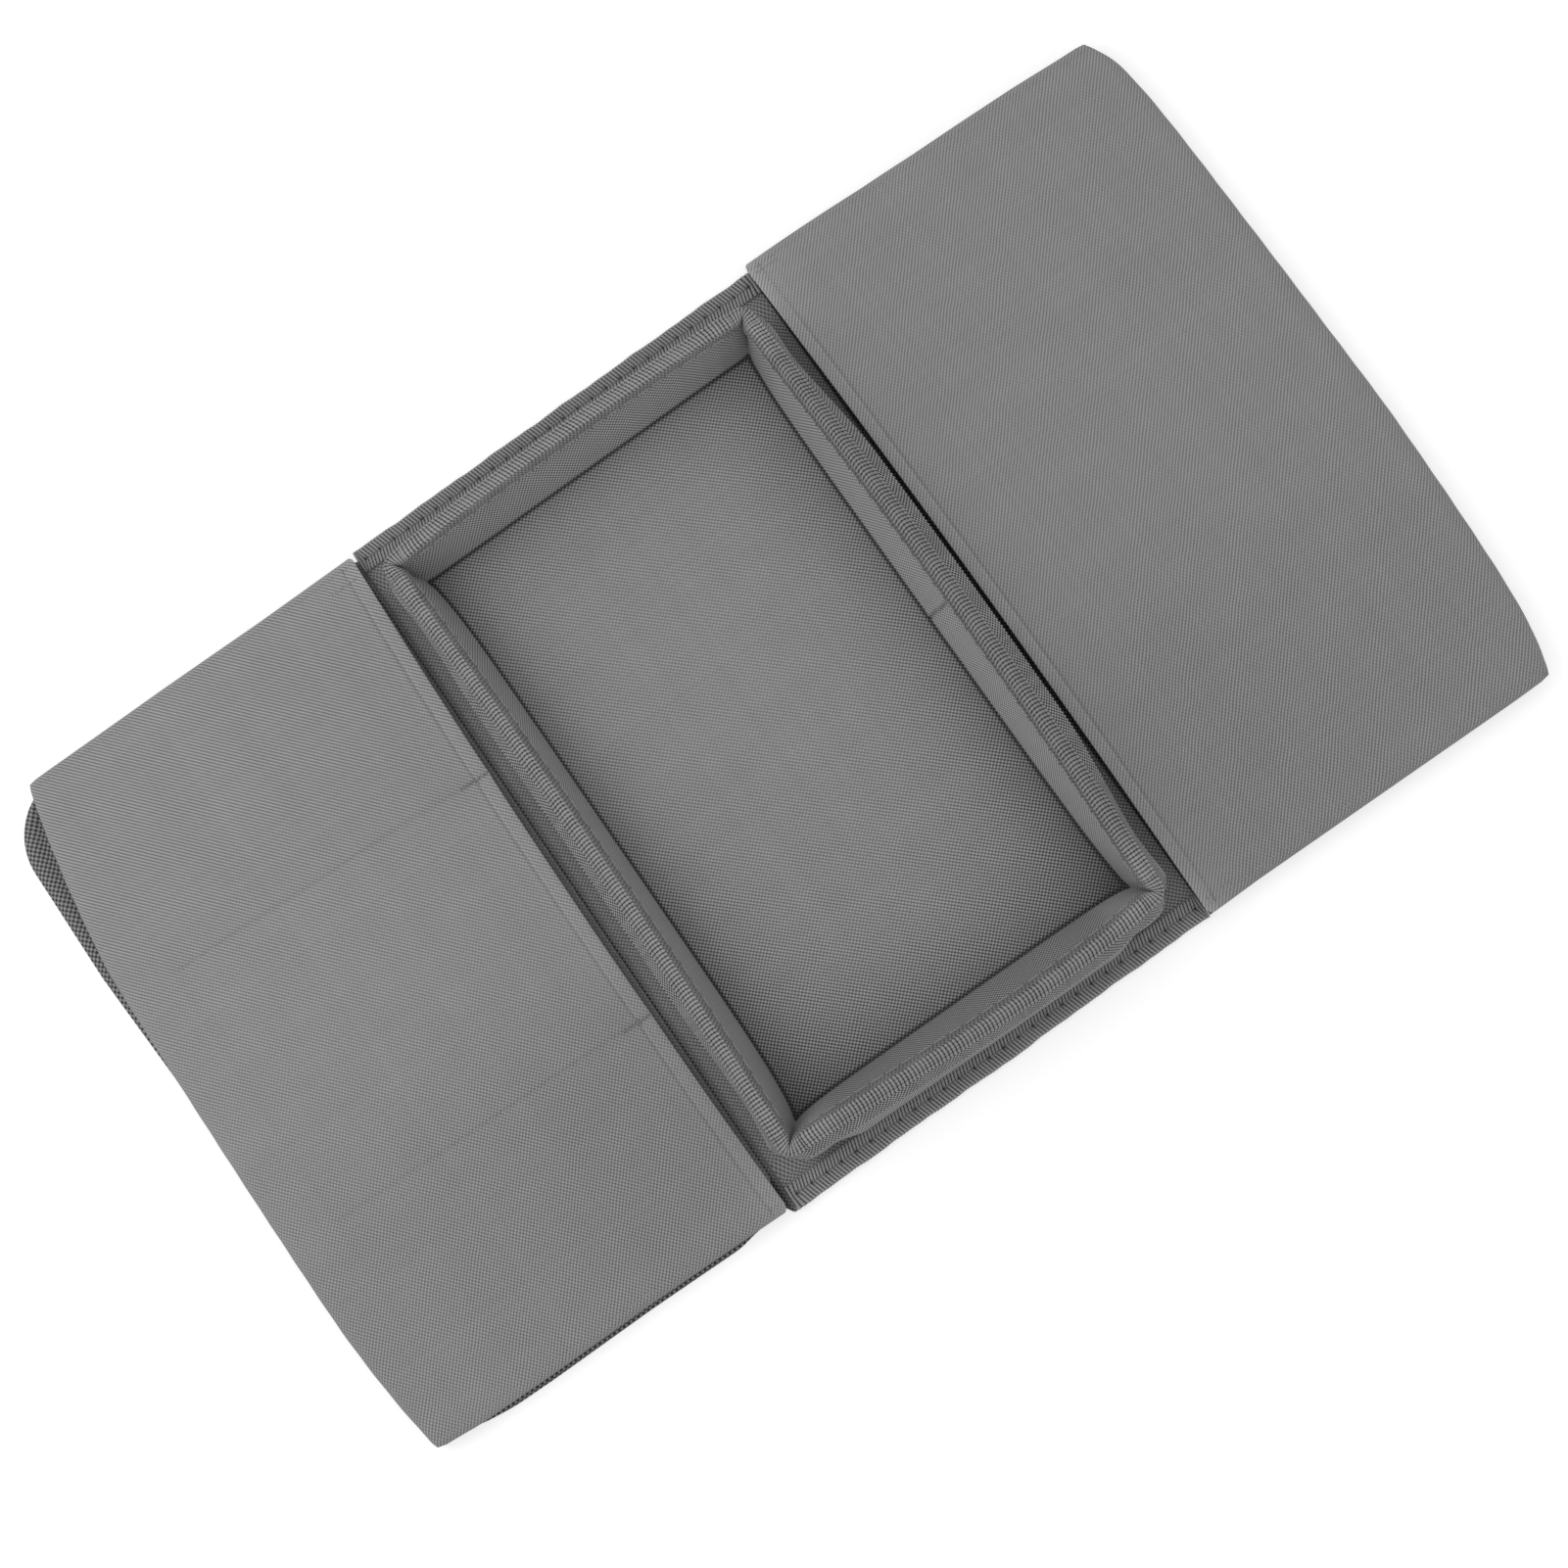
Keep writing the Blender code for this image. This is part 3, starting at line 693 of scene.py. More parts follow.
@dataclass(frozen=True)
class ThreadFinish:
    """Polyester sewing thread."""

    name: str
    dark: float
    light: float

    def make(self) -> Material:
        """Builds the material.

        Returns:
            A twisted thread with a little shine.
        """
        nodes = NodeBuilder(self.name)
        place = nodes.object_place()
        twist = nodes.add("ShaderNodeTexWave", wave_type="BANDS", bands_direction="DIAGONAL")
        twist.inputs["Scale"].default_value = 900.0
        twist.inputs["Distortion"].default_value = 1.5
        nodes.link(place, twist.inputs["Vector"])
        nodes.tone(self.dark, self.light, twist.outputs["Fac"])
        nodes.relief(twist.outputs["Fac"], 0.00005)
        nodes.matt(0.55, 0.05, 0.4)
        return nodes.material


@dataclass(frozen=True)
class FeltFinish:
    """Needled felt inside the flaps."""

    name: str
    dark: float
    light: float

    def make(self) -> Material:
        """Builds the material.

        Returns:
            A soft white felt of loose fibres.
        """
        nodes = NodeBuilder(self.name)
        place = nodes.object_place()
        fibres = nodes.noise(place, 2200.0, 5.0, 0.75)
        clouds = nodes.noise(place, 140.0, 2.0)
        share = nodes.math("MULTIPLY_ADD", clouds, 0.5, nodes.math("MULTIPLY", fibres, 0.5))
        nodes.tone(self.dark, self.light, share)
        nodes.relief(fibres, 0.0002)
        nodes.matt(0.95, 0.2, 0.1)
        return nodes.material


@dataclass(frozen=True)
class BoardFinish:
    """Plain plastic board."""

    name: str
    dark: float
    light: float

    def make(self) -> Material:
        """Builds the material.

        Returns:
            An off-white board with a fine moulded grain and faint scuffs.
        """
        nodes = NodeBuilder(self.name)
        place = nodes.object_place()
        grain = nodes.noise(place, 2600.0, 2.0)
        scuffs = nodes.noise(place, 60.0, 4.0, 0.7)
        share = nodes.math("MULTIPLY_ADD", grain, 0.2, nodes.math("MULTIPLY", scuffs, 0.8))
        nodes.tone(self.dark, self.light, share)
        nodes.link(nodes.math("MULTIPLY_ADD", scuffs, 0.25, 0.4), nodes.shader.inputs["Roughness"])
        nodes.relief(grain, 0.00004)
        return nodes.material


class Wardrobe:
    """Every finish of the tray, built once."""

    def __init__(self) -> None:
        """Builds the materials."""
        self.right_pocket = WeaveFinish("right_pocket_weave", 0.10, 0.40, lean=0.15, contrast=0.31).make()
        self.left_pocket = WeaveFinish("left_pocket_weave", 0.10, 0.43, lean=0.68, lean_turn=2.4,
                                       contrast=0.36).make()
        self.floor = WeaveFinish("floor_weave", 0.07, 0.46, yarn_along=0.000893, yarn_across=0.000850,
                                 lean=0.62, contrast=0.28, deepened=2.0).make()
        self.wall = WeaveFinish("wall_weave", 0.06, 0.42, contrast=0.75).make()
        self.cover = WeaveFinish("cover_weave", 0.06, 0.44, contrast=0.75).make()
        self.back = WeaveFinish("underside_weave", 0.03, 0.30, yarn_along=0.00110, yarn_across=0.00120,
                                depth=0.00025, contrast=0.80).make()
        self.rim = TapeFinish("rim_webbing", 0.02, 0.37, rib=0.00158, groove=1.25).make()
        self.edge = TapeFinish("edge_webbing", 0.01, 0.30, rib=0.00140, cord=0.0013, knot=0.30,
                               groove=1.3).make()
        self.thread = ThreadFinish("sewing_thread", 0.24, 0.38).make()
        self.dull_thread = ThreadFinish("tape_thread", 0.12, 0.24).make()
        self.felt = FeltFinish("interlining_felt", 0.45, 0.75).make()
        self.board = BoardFinish("board_plastic", 0.62, 0.80).make()


@dataclass
class Stitcher:
    """Sews seams: one stitch is modelled, and copied along each line."""

    thread: float = 0.00019         # radius
    length: float = 0.0058          # of thread that shows
    pitch: float = 0.0068           # from hole to hole
    sink: float = 0.00045           # depth of its ends below its middle
    narrowing: float = 0.45         # share by which its ends are narrower
    template: Optional[tuple] = None

    def stitch(self) -> tuple:
        """Models one stitch, once.

        Returns:
            Its points and faces, along X and standing on Z.
        """
        if self.template is not None:
            return self.template
        bpy.ops.object.select_all(action="DESELECT")
        bpy.ops.mesh.primitive_cylinder_add(vertices=6, radius=self.thread, depth=self.length,
                                            end_fill_type="NGON", rotation=(0, math.pi / 2, 0))
        piece = bpy.context.active_object
        bpy.ops.object.transform_apply(location=True, rotation=True, scale=True)
        bpy.ops.object.mode_set(mode="EDIT")
        bpy.ops.mesh.select_all(action="DESELECT")
        bpy.ops.object.mode_set(mode="OBJECT")
        half = self.length / 2
        for edge in piece.data.edges:
            ends = [piece.data.vertices[index].co.x for index in edge.vertices]
            edge.select = abs(ends[0] - ends[1]) > half
        bpy.ops.object.mode_set(mode="EDIT")
        bpy.ops.mesh.select_mode(type="EDGE")
        bpy.ops.mesh.subdivide(number_cuts=4)
        bpy.ops.object.mode_set(mode="OBJECT")
        for vert in piece.data.vertices:
            near_end = (abs(vert.co.x) / half) ** 4
            vert.co.z -= self.sink * near_end
            vert.co.y *= 1 - self.narrowing * near_end
        points = np.array([vert.co[:] for vert in piece.data.vertices])
        faces = [tuple(face.vertices) for face in piece.data.polygons]
        mesh = piece.data
        bpy.data.objects.remove(piece, do_unlink=True)
        bpy.data.meshes.remove(mesh)
        self.template = (points, faces)
        return self.template

    def holes(self, run: Array, pitch: Optional[float] = None) -> Array:
        """The needle's holes along a run of stitches.

        Args:
            run: The path of the thread.
            pitch: Length of one stitch, or the stitcher's own.

        Returns:
            One point for each hole.
        """
        along = run_lengths(run)
        marks = np.linspace(0, along[-1], max(1, round(along[-1] / (pitch or self.pitch))) + 1)
        return np.stack([np.interp(marks, along, run[:, axis]) for axis in range(3)], 1)

    def sew(self, name: str, runs: Sequence[Array], body: str, finish: Material, slot: str,
            pitch: Optional[float] = None, up: tuple = (0, 0, 1)) -> Piece:
        """Sews runs of stitches as one piece.

        Args:
            name: The piece's name.
            runs: Paths that the thread follows on the cloth.
            body: The body that the stitches ride on.
            finish: The thread's material.
            slot: Not used; only passed on.
            pitch: Length of one stitch, or the stitcher's own.
            up: Direction out of the cloth.

        Returns:
            The stitches.
        """
        points, faces = self.stitch()
        out_points, out_faces, count = [], [], 0
        for run in runs:
            holes = self.holes(run, pitch)
            for start, end in zip(holes[:-1], holes[1:]):
                ahead = (end - start) / np.linalg.norm(end - start)
                left = np.cross(up, ahead)
                left /= np.linalg.norm(left)
                above = np.cross(ahead, left)
                scale = np.linalg.norm(end - start) / self.pitch
                local = points * (scale, 1, 1)
                out_points.append((start + end) / 2 + local[:, :1] * ahead + local[:, 1:2] * left
                                  + local[:, 2:] * above)
                out_faces += [tuple(index + count for index in face) for face in faces]
                count += len(points)
        mesh = bpy.data.meshes.new(name)
        mesh.from_pydata(np.concatenate(out_points).tolist(), [], out_faces)
        mesh.shade_smooth()
        piece = new_piece(name, mesh)
        fit(piece, finish, slot, body)
        return piece


@dataclass
class TrayBase:
    """The base: a floor cloth and an underside cloth over a board, taped at both short ends."""

    sizes: TraySizes
    wardrobe: Wardrobe
    stitcher: Stitcher
    walls: "WallRing"
    back_reach: float = 0.0024      # how far each short end lies past the plain length
    front_reach: float = 0.0018
    front_skew: float = 0.0114      # how much less of it each metre towards +X
    front_belly: float = 0.0005     # and how much more of it at the middle
    tape_stop: float = 0.0007
    floor_edge: float = 0.0936      # the floor cloth runs on over the inner half of a fold
    edge_curl: float = 0.0005       # how far its edge stands up there
    ridge_height: float = 0.00035   # of the soft fold beside the left flap's front half
    slope: float = 0.0040
    floor_rise: float = 0.0022      # of the floor cloth over the middle of the board
    rib: float = 0.0014
    rib_depth: float = 0.00028
    rib_slant: float = 0.30
    seam_inset: float = 0.0054      # of the tape's stitch line from its fold
    stitch_sink: float = 0.00035    # how deep the stitches lie in the tape
    waves: tuple = ((0.0310, 0.00012, 0.4), (0.0170, 0.00008, 2.0), (0.0083, 0.00005, 1.1))

    def end_bow(self, x: Values, side: int) -> Array:
        """How far a short end lies past the plain length at this x.

        Args:
            x: Where across the base.
            side: 1 at the back and -1 at the front.

        Returns:
            The distance along Y.
        """
        x = np.asarray(x, float)
        if side > 0:
            return self.back_reach + 0 * x
        return -self.front_reach + self.front_skew * x - self.front_belly * bump_at(x, 0.002, 0.020)

    def well_edge(self, side: Side) -> float:
        """How far the floor cloth is raised, out to the outermost foot of a wall."""
        half = (self.sizes.well_width / 2, self.sizes.well_length / 2)[side.value % 2]
        return half + self.sizes.wall_stack + self.sizes.gap

    def cloth_grid(self, half_x: float, fine: bool = False) -> tuple:
        """Grid lines of a base cloth.

        Args:
            half_x: Half its width.
            fine: Puts close lines along the walls' foot.

        Returns:
            Its x and y, as two grids.
        """
        s = self.sizes
        end = (s.base_length - s.edge_tape_top) / 2
        xs = lines_between(-half_x, half_x, 0.0022)
        ys = lines_between(-end, end, 0.0022)
        if fine:
            foot_x, foot_y = s.well_width / 2 + 0.0006, s.well_length / 2 + 0.0006
            close_x = np.concatenate([np.arange(-foot_x, -foot_x + 0.0075, 0.0005),
                                      np.arange(foot_x - 0.0040, foot_x, 0.0005)])
            close_y = np.concatenate([np.arange(-foot_y, -foot_y + 0.0045, 0.0005),
                                      np.arange(foot_y - 0.0030, foot_y, 0.0005)])
            xs, ys = np.union1d(xs, close_x), np.union1d(ys, close_y)
        return np.meshgrid(xs, ys)

    def foot_distance(self, x: Array, y: Array) -> tuple:
        """Measures from the walls' foot to places of the floor.

        Args:
            x: The places.
            y: The places.

        Returns:
            How far inside the side walls' foot each lies, and inside the end walls' foot.
        """
        half_x, half_y, bows = self.sizes.well_width / 2, self.sizes.well_length / 2, self.walls.foot_bows
        bow_x = np.where(x > 0, bows[Side.RIGHT], bows[Side.LEFT]) * (1 - ramp(np.abs(y), 0, half_y) ** 8)
        bow_y = np.where(y > 0, bows[Side.BACK], bows[Side.FRONT]) * (1 - ramp(np.abs(x), 0, half_x) ** 8)
        return half_x + bow_x - np.abs(x), half_y + bow_y - np.abs(y)

    def placed(self, x: Array, y: Array, z: Array) -> Array:
        """Carries a base cloth out with the bow of the short ends.

        Args:
            x: Its points.
            y: Its points.
            z: Its points.

        Returns:
            The points, carried out.
        """
        start = self.well_edge(Side.BACK) + self.slope
        outside = ramp(np.abs(y), start, mix(self.sizes.tape_line, start, 0.5))
        bow = np.where(y > 0, self.end_bow(x, 1), self.end_bow(x, -1))
        return np.stack([x, y + bow * outside, z], -1)

    def tape_rise(self, y: Array) -> Array:
        """0 on the open base and 1 under the tape of a short end."""
        start = mix(self.sizes.tape_line, self.well_edge(Side.BACK) + self.slope, 0.5)
        return ramp(np.abs(y), start, self.sizes.tape_line)

    def make_floor(self) -> Piece:
        """Builds the floor cloth: level over the board, easing down to the base outside the walls.

        Returns:
            The cloth.
        """
        s = self.sizes
        x, y = self.cloth_grid(self.floor_edge, fine=True)
        edge_x, edge_y = self.well_edge(Side.RIGHT), self.well_edge(Side.BACK)
        outside = np.maximum(ease(np.abs(x), edge_x, edge_x + self.slope),
                             ease(np.abs(y), edge_y, edge_y + self.slope))
        from_middle = np.maximum(ramp(np.abs(x), 0, s.well_width / 2),
                                 ramp(np.abs(y), 0, s.well_length / 2))
        soft = 0.85 + 0.15 * np.sin(x * 52 + y * 21 + 0.8) * np.cos(y * 33 - x * 14 + 0.3)
        low = mix(s.cloth + s.gap, s.edge_tape + s.cloth + 2 * s.gap, self.tape_rise(y))
        z = mix(s.cloth + 2 * s.gap + s.floor_board, low, outside)
        z = z + self.floor_rise * soft * (1 - ramp(from_middle, 0, 1) ** 4)
        ridge = bump_at(x, -0.0897, 0.0007) * ease(-y, 0.030, 0.045) * (1 - ease(-y, 0.122, 0.132))
        curl = ease(np.abs(x), 0.0900, 0.0920) * (1 - self.tape_rise(y))
        z = z + self.ridge_height * ridge + self.edge_curl * curl
        piece = grid_piece("floor_cloth", self.placed(x, y, z), np.stack([x, y], -1))
        # Painted shade: the floor cloth is drawn darker at the walls' foot and along each wall, more towards
        # the front, where the walls' shade falls; the strips outside the walls get a little painted shade
        # too.
        from_x, from_y = self.foot_distance(x, y)
        nearest = np.minimum(from_x, from_y)
        to_front = ease(-y, -0.020, 0.100)
        near = 0.60 * (1 - ease(nearest, 0.0004, 0.0020)) + 0.05 * to_front
        near = near + (np.where(x > 0, 0.27, 0.17) + 0.13 * to_front) * np.exp(-np.maximum(from_x, 0) / 0.015)
        near = near + np.where(y < 0, 0.32, 0.19) * np.exp(-np.maximum(from_y, 0) / 0.016)
        paint(piece, SHADE, np.where(nearest > -0.0008, np.minimum(near, 0.8), 0.12))
        thicken(piece, s.cloth, 1.0)
        fit(piece, self.wardrobe.floor, "floor_cloth", "tray", "tray_floor_panel")
        return piece

    def make_underside(self) -> Piece:
        """Builds the cloth under the base, which lies on the sofa's arm.

        Returns:
            The cloth.
        """
        s = self.sizes
        half = s.fold - s.fold_strip / 2 - s.gap
        x, y = self.cloth_grid(half)
        z = (s.edge_tape + s.gap) * self.tape_rise(y)
        piece = grid_piece("underside_cloth", self.placed(x, y, z), np.stack([x, y], -1))
        thicken(piece, s.cloth, 1.0)
        fit(piece, self.wardrobe.back, "base_cover_cloth", "tray", "tray_base_cover")
        return piece

    def tape_section(self) -> tuple:
        """The tape folded round a short end.

        Returns:
            Its outer path of (distance from the tape line, height), the same path on the inside, and a
            share of the ribs' depth at each outer point.
        """
        s = self.sizes
        top, width, thick = s.edge_tape_top, s.edge_tape_width, s.edge_tape
        round_ = top / 2
        seam = width - self.seam_inset
        upper = [0.0, 0.0004, 0.0012, 0.0022, 0.0032, seam - 0.0008, seam - 0.0004, seam, seam + 0.0004,
                 seam + 0.0008, seam + 0.0018, seam + 0.0028, width - round_]
        path = [(distance, top) for distance in upper]
        for step in range(1, 8):
            angle = math.pi / 2 - step / 8 * math.pi
            path.append((width - round_ + round_ * math.cos(angle), round_ + round_ * math.sin(angle)))
        lower = (width - round_, width - 0.0045, width - 0.0072, 0.0003, 0.0)
        path += [(distance, 0.0) for distance in lower]
        path = np.array(path)
        sunk = bump_at(path[:, 0], seam, 0.0005) * (path[:, 1] > top / 2)
        path[:, 1] -= self.stitch_sink * sunk
        path[:2, 1] -= (0.00022, 0.00004)
        inner = [(0.0, top - thick), (width - round_, top - thick)]
        for step in range(1, 4):
            angle = math.pi / 2 - step / 4 * math.pi
            inner.append((width - round_ + (round_ - thick) * math.cos(angle),
                          round_ + (round_ - thick) * math.sin(angle)))
        inner += [(width - round_, thick), (0.0, thick)]
        ribs = np.ones(len(path))
        ribs[sunk > 0.5] = 0.25
        ribs[0] = ribs[-1] = 0.3
        return path, np.array(inner), ribs

    def make_tape(self, name: str, side: int, node: str) -> Piece:
        """Builds the ribbed tape on one short end, with its stitch line.

        Args:
            name: The piece's name.
            side: 1 at the back and -1 at the front.
            node: The solid it stands for.

        Returns:
            The tape.
        """
        s = self.sizes
        path, inner, rib_share = self.tape_section()
        half = s.fold - self.tape_stop
        x = np.arange(-half, half + self.rib / 8, self.rib / 4)
        x = x * (half / x[-1])
        phase = x / self.rib
        crest = np.abs(np.sin(math.pi * (phase - phase[0]))) ** 0.7
        lengths = run_lengths(path)
        slant = -side * self.rib_slant * np.abs(lengths - lengths[7])
        edge_wave = wander(x + 0.4 * side, *self.waves)
        turned = ease(np.abs(x), half - 0.004, half)

        def rows(section: Array, ribs: Optional[Array]) -> Array:
            """Places each point of a section along the whole tape."""
            outer = section[:, 0][:, None]
            inside = ease(outer, 0.002, s.edge_tape_width)
            y = s.tape_line + outer + edge_wave * inside
            z = np.repeat(section[:, 1][:, None], len(x), 1)
            xx = np.repeat(x[None], len(section), 0)
            if ribs is not None:
                depth = self.rib_depth * (1 - crest)[None] * ribs[:, None]
                middle = s.edge_tape_top / 2
                z = z - depth * np.sign(z - middle) * (np.abs(z - middle) > middle * 0.5)
                y = y - depth * (np.abs(z - middle) <= middle * 0.5)
                lean = slant[:, None] * (1 - turned)[None]
                xx = xx + np.clip(lean, -0.0016, 0.0016)
                z = z + np.where(z > middle, wander(xx * 1.3, *self.waves) * 0.8 * inside, 0)
            return np.stack([xx, side * y + self.end_bow(xx, side), z], -1)

        outside = rows(path, rib_share)
        under = rows(inner[::-1], None)
        points = np.concatenate([outside, under])
        across = run_lengths(np.concatenate([path, inner[::-1], path[:1]]))
        along = np.repeat((x + half)[None], len(points) + 1, 0)
        uv = np.stack([along, np.repeat(across[:, None], len(x), 1)], -1)
        piece = grid_piece(name, points, uv, close_across=True, flip=side > 0)
        # Painted shade in the needle holes along the stitch line.
        hole = np.abs(x[:, None] - self.stitcher.holes(self.seam_run(side))[None, :, 0]).min(1)
        shade = np.zeros(points.shape[:2])
        on_seam = bump_at(path[:, 0], s.edge_tape_width - self.seam_inset, 0.0008)[:, None]
        upper = (path[:, 1] > s.edge_tape_top / 2)[:, None]
        shade[:len(path)] = 0.95 * on_seam * upper * bump_at(hole, 0, 0.0007)[None]
        paint(piece, SHADE, shade)
        self.cap_ends(piece)
        fit(piece, self.wardrobe.edge, "binding_tape", "tray", node)
        return piece

    def cap_ends(self, piece: Piece) -> None:
        """Closes both cut ends of a tape and turns its faces outwards.

        Args:
            piece: The tape.
        """
        with opened(piece) as bm:
            bmesh.ops.holes_fill(bm, edges=[edge for edge in bm.edges if edge.is_boundary], sides=0)
            caps = [face for face in bm.faces if len(face.verts) > 4]
            bmesh.ops.triangulate(bm, faces=caps)
            bmesh.ops.recalc_face_normals(bm, faces=bm.faces)
        smooth(piece.data, 60)

    def make_seams(self) -> None:
        """Sews the tapes down."""
        for name, side in (("back_tape_stitches", 1), ("front_tape_stitches", -1)):
            self.stitcher.sew(name, [self.seam_run(side)], "tray", self.wardrobe.dull_thread, "binding_tape")

    def seam_run(self, side: int) -> Array:
        """The stitch line on one tape.

        Args:
            side: 1 at the back and -1 at the front.

        Returns:
            Its points.
        """
        s = self.sizes
        x = np.linspace(-s.fold + 0.004, s.fold - 0.004, 160)
        y = s.base_length / 2 - self.seam_inset + wander(x, (0.041, 0.00010, 0.7))
        return np.stack([x, side * y + self.end_bow(x, side), np.full_like(x, s.edge_tape_top - 0.00008)], -1)

    def build(self) -> None:
        """Builds and dresses the whole base."""
        log.info("floor: %s", self.make_floor().name)
        log.info("underside: %s", self.make_underside().name)
        log.info("tape: %s", self.make_tape("back_edge_tape", 1, "back_base_binding").name)
        log.info("tape: %s", self.make_tape("front_edge_tape", -1, "front_base_binding").name)
        self.make_seams()
        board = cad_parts["tray_floor_board"]
        board.data.materials.clear()
        board.data.materials.append(self.wardrobe.board)


@dataclass
class WallRing:
    """The ring of four walls. A place on it is a station round it, an offset outwards and a height."""

    sizes: TraySizes
    side_lean: float = 0.0039
    end_lean: float = 0.0058
    rim_bows: dict = field(default_factory=lambda: {
        Side.RIGHT: 0.0033, Side.BACK: 0.0022, Side.LEFT: -0.0025, Side.FRONT: 0.0034})
    front_skew: float = 0.9         # how much more of the front's bow lies towards +X
    foot_bows: dict = field(default_factory=lambda: {
        Side.RIGHT: -0.0021, Side.BACK: 0.0, Side.LEFT: -0.0031, Side.FRONT: -0.0017})
    dip: float = 0.0012             # the rim sinks this much at its corners
    dip_reach: float = 0.0120
    corner_reach: float = 0.0040    # length of wall that turns into a corner
    near_corner: float = 0.022      # length of wall that counts as near one
    pinch: float = 0.0010           # how far the inner corner is pinched outwards at the rim
    inner: float = -0.0013          # offset of the rim tape's inner face
    outer: float = 0.0051           # and of its outer face
    spreads: dict = field(default_factory=lambda: {     # how far the outer cloth stands off, at heights
        Side.RIGHT: ((0.0018, 0.0070), (0.0050, 0.0076), (0.0070, 0.0085), (0.0085, 0.0098), (0.0105, 0.0113),
                     (0.0120, 0.0122), (0.0145, 0.0113), (0.0185, 0.0082), (0.0220, 0.0044), (0.0256, 0.0)),
        Side.BACK: ((0.0018, 0.0105), (0.0100, 0.0060), (0.0185, 0.0025), (0.0256, 0.0)),
        Side.LEFT: ((0.0018, 0.0118), (0.0060, 0.0112), (0.0100, 0.0100), (0.0145, 0.0085), (0.0185, 0.0064),
                    (0.0256, 0.0)),
        Side.FRONT: ((0.0018, 0.0130), (0.0036, 0.0135), (0.0046, 0.0160), (0.0100, 0.0135), (0.0185, 0.0070),
                     (0.0220, 0.0038), (0.0256, 0.0))})
    corner_spread: tuple = ((0.0018, 0.0082), (0.0046, 0.0076), (0.0070, 0.0084), (0.0100, 0.0086),
                            (0.0185, 0.0042), (0.0256, 0.0))
    front_corner_spread: tuple = ((0.0018, 0.0110), (0.0046, 0.0112), (0.0100, 0.0108), (0.0185, 0.0060),
                                  (0.0256, 0.0))
    spread_reaches: dict = field(default_factory=lambda: {      # length of wall over which that changes
        Side.RIGHT: 0.0680, Side.BACK: 0.0500, Side.LEFT: 0.0680, Side.FRONT: 0.0180})

    def share(self, z: Values) -> Values:
        """Height as a share of the wall, 0 at its foot and 1 at its top."""
        return (np.asarray(z, float) - self.sizes.foot_z) / (self.sizes.wall_top_z - self.sizes.foot_z)

    def corner(self, side: Side, share: float) -> tuple:
        """Finds the corner after a wall.

        Args:
            side: The wall.
            share: Height as a share of the wall.

        Returns:
            Its distance out and forward, in that wall's own directions.
        """
        half_x = self.sizes.well_width / 2 + self.side_lean * share
        half_y = self.sizes.well_length / 2 + self.end_lean * share
        return (half_y, half_x) if side.value % 2 else (half_x, half_y)

    def half_run(self, side: Side) -> float:
        """Half the length of a wall's rim between its corners."""
        return float(self.corner(side, 1.0)[1])

    def flat_place(self, side: Side, out: Values, forward: Values) -> Array:
        """Turns a wall's own distances to places.

        Args:
            side: The wall.
            out: Distance out of the middle.
            forward: Distance along the wall.

        Returns:
            The x and y.
        """
        angle = side.value * math.pi / 2
        x = math.cos(angle) * out - math.sin(angle) * forward
        y = math.sin(angle) * out + math.cos(angle) * forward
        return np.stack([x, y], -1)

    def stations(self, step: float, per_corner: Optional[int] = None) -> list:
        """Divides the ring evenly.

        Args:
            step: Distance between stations at the rim's outer edge.
            per_corner: Stations in each half of a corner, or as many as the step gives.

        Returns:
            For each wall: its shares along, and the shares of each half corner.
        """
        out = []
        for side in Side:
            run = self.half_run(side) - self.corner_reach
            count = max(2, round(2 * run / step))
            turn = self.corner_reach + self.outer * math.pi / 4
            turns = per_corner or max(2, round(turn / step))
            out.append((side, np.linspace(-1, 1, count + 1), np.linspace(0, 1, turns + 1)[1:]))
        return out

    def spots(self, stations: list, reaches: Optional[dict] = None) -> tuple:
        """Tells where each station of a loop is.

        Args:
            stations: As divided above.
            reaches: Length of each wall that counts as near a corner.

        Returns:
            The wall of each station, and how near it is to a corner: 0 on the open wall, 1 at the corner.
        """
        sides, corners = [], []
        for side, straight, turns in stations:
            run = self.half_run(side)
            reach = reaches[side] if reaches else self.near_corner
            near = ease(np.abs(straight) * run, run - reach, run - self.corner_reach)
            corners.append(np.concatenate([np.ones(len(turns) - 1), near, np.ones(len(turns))]))
            sides += [side] * len(corners[-1])
        return sides, np.concatenate(corners)

    def ring(self, stations: list, offset: float, z: float, pinch: float,
             spread: Optional[Array] = None) -> Array:
        """The points of one loop round the walls.

        Args:
            stations: As divided above.
            offset: Distance outwards from the lining's inner face.
            z: Height before the dip at the corners.
            pinch: How far the inner corner is pinched outwards at this height.
            spread: More distance outwards, at each station.

        Returns:
            One point for each station.
        """
        share = float(self.share(z))
        loop = []
        first = 0
        for side, straight, turns in stations:
            depth, run = self.corner(side, share)
            reach = 1 - self.corner_reach / run
            level = max(share, 0)
            count = len(straight) + 2 * len(turns) - 1
            more = 0.0 if spread is None else spread[first:first + count, None]
            first += count
            blend_share = (offset + more - self.inner) / (self.outer - self.inner)

            def line(along: Values, at_offset: float) -> Array:
                """Points of the straight wall, at shares of the way from its middle to its end."""
                skew = 1 + (side is Side.FRONT) * self.front_skew * along
                rim = self.rim_bows[side] * (1 - along ** 2) * skew
                foot = self.foot_bows[side] * (1 - along ** 8)
                return self.flat_place(side, depth + at_offset + mix(foot, rim, level), run * along)

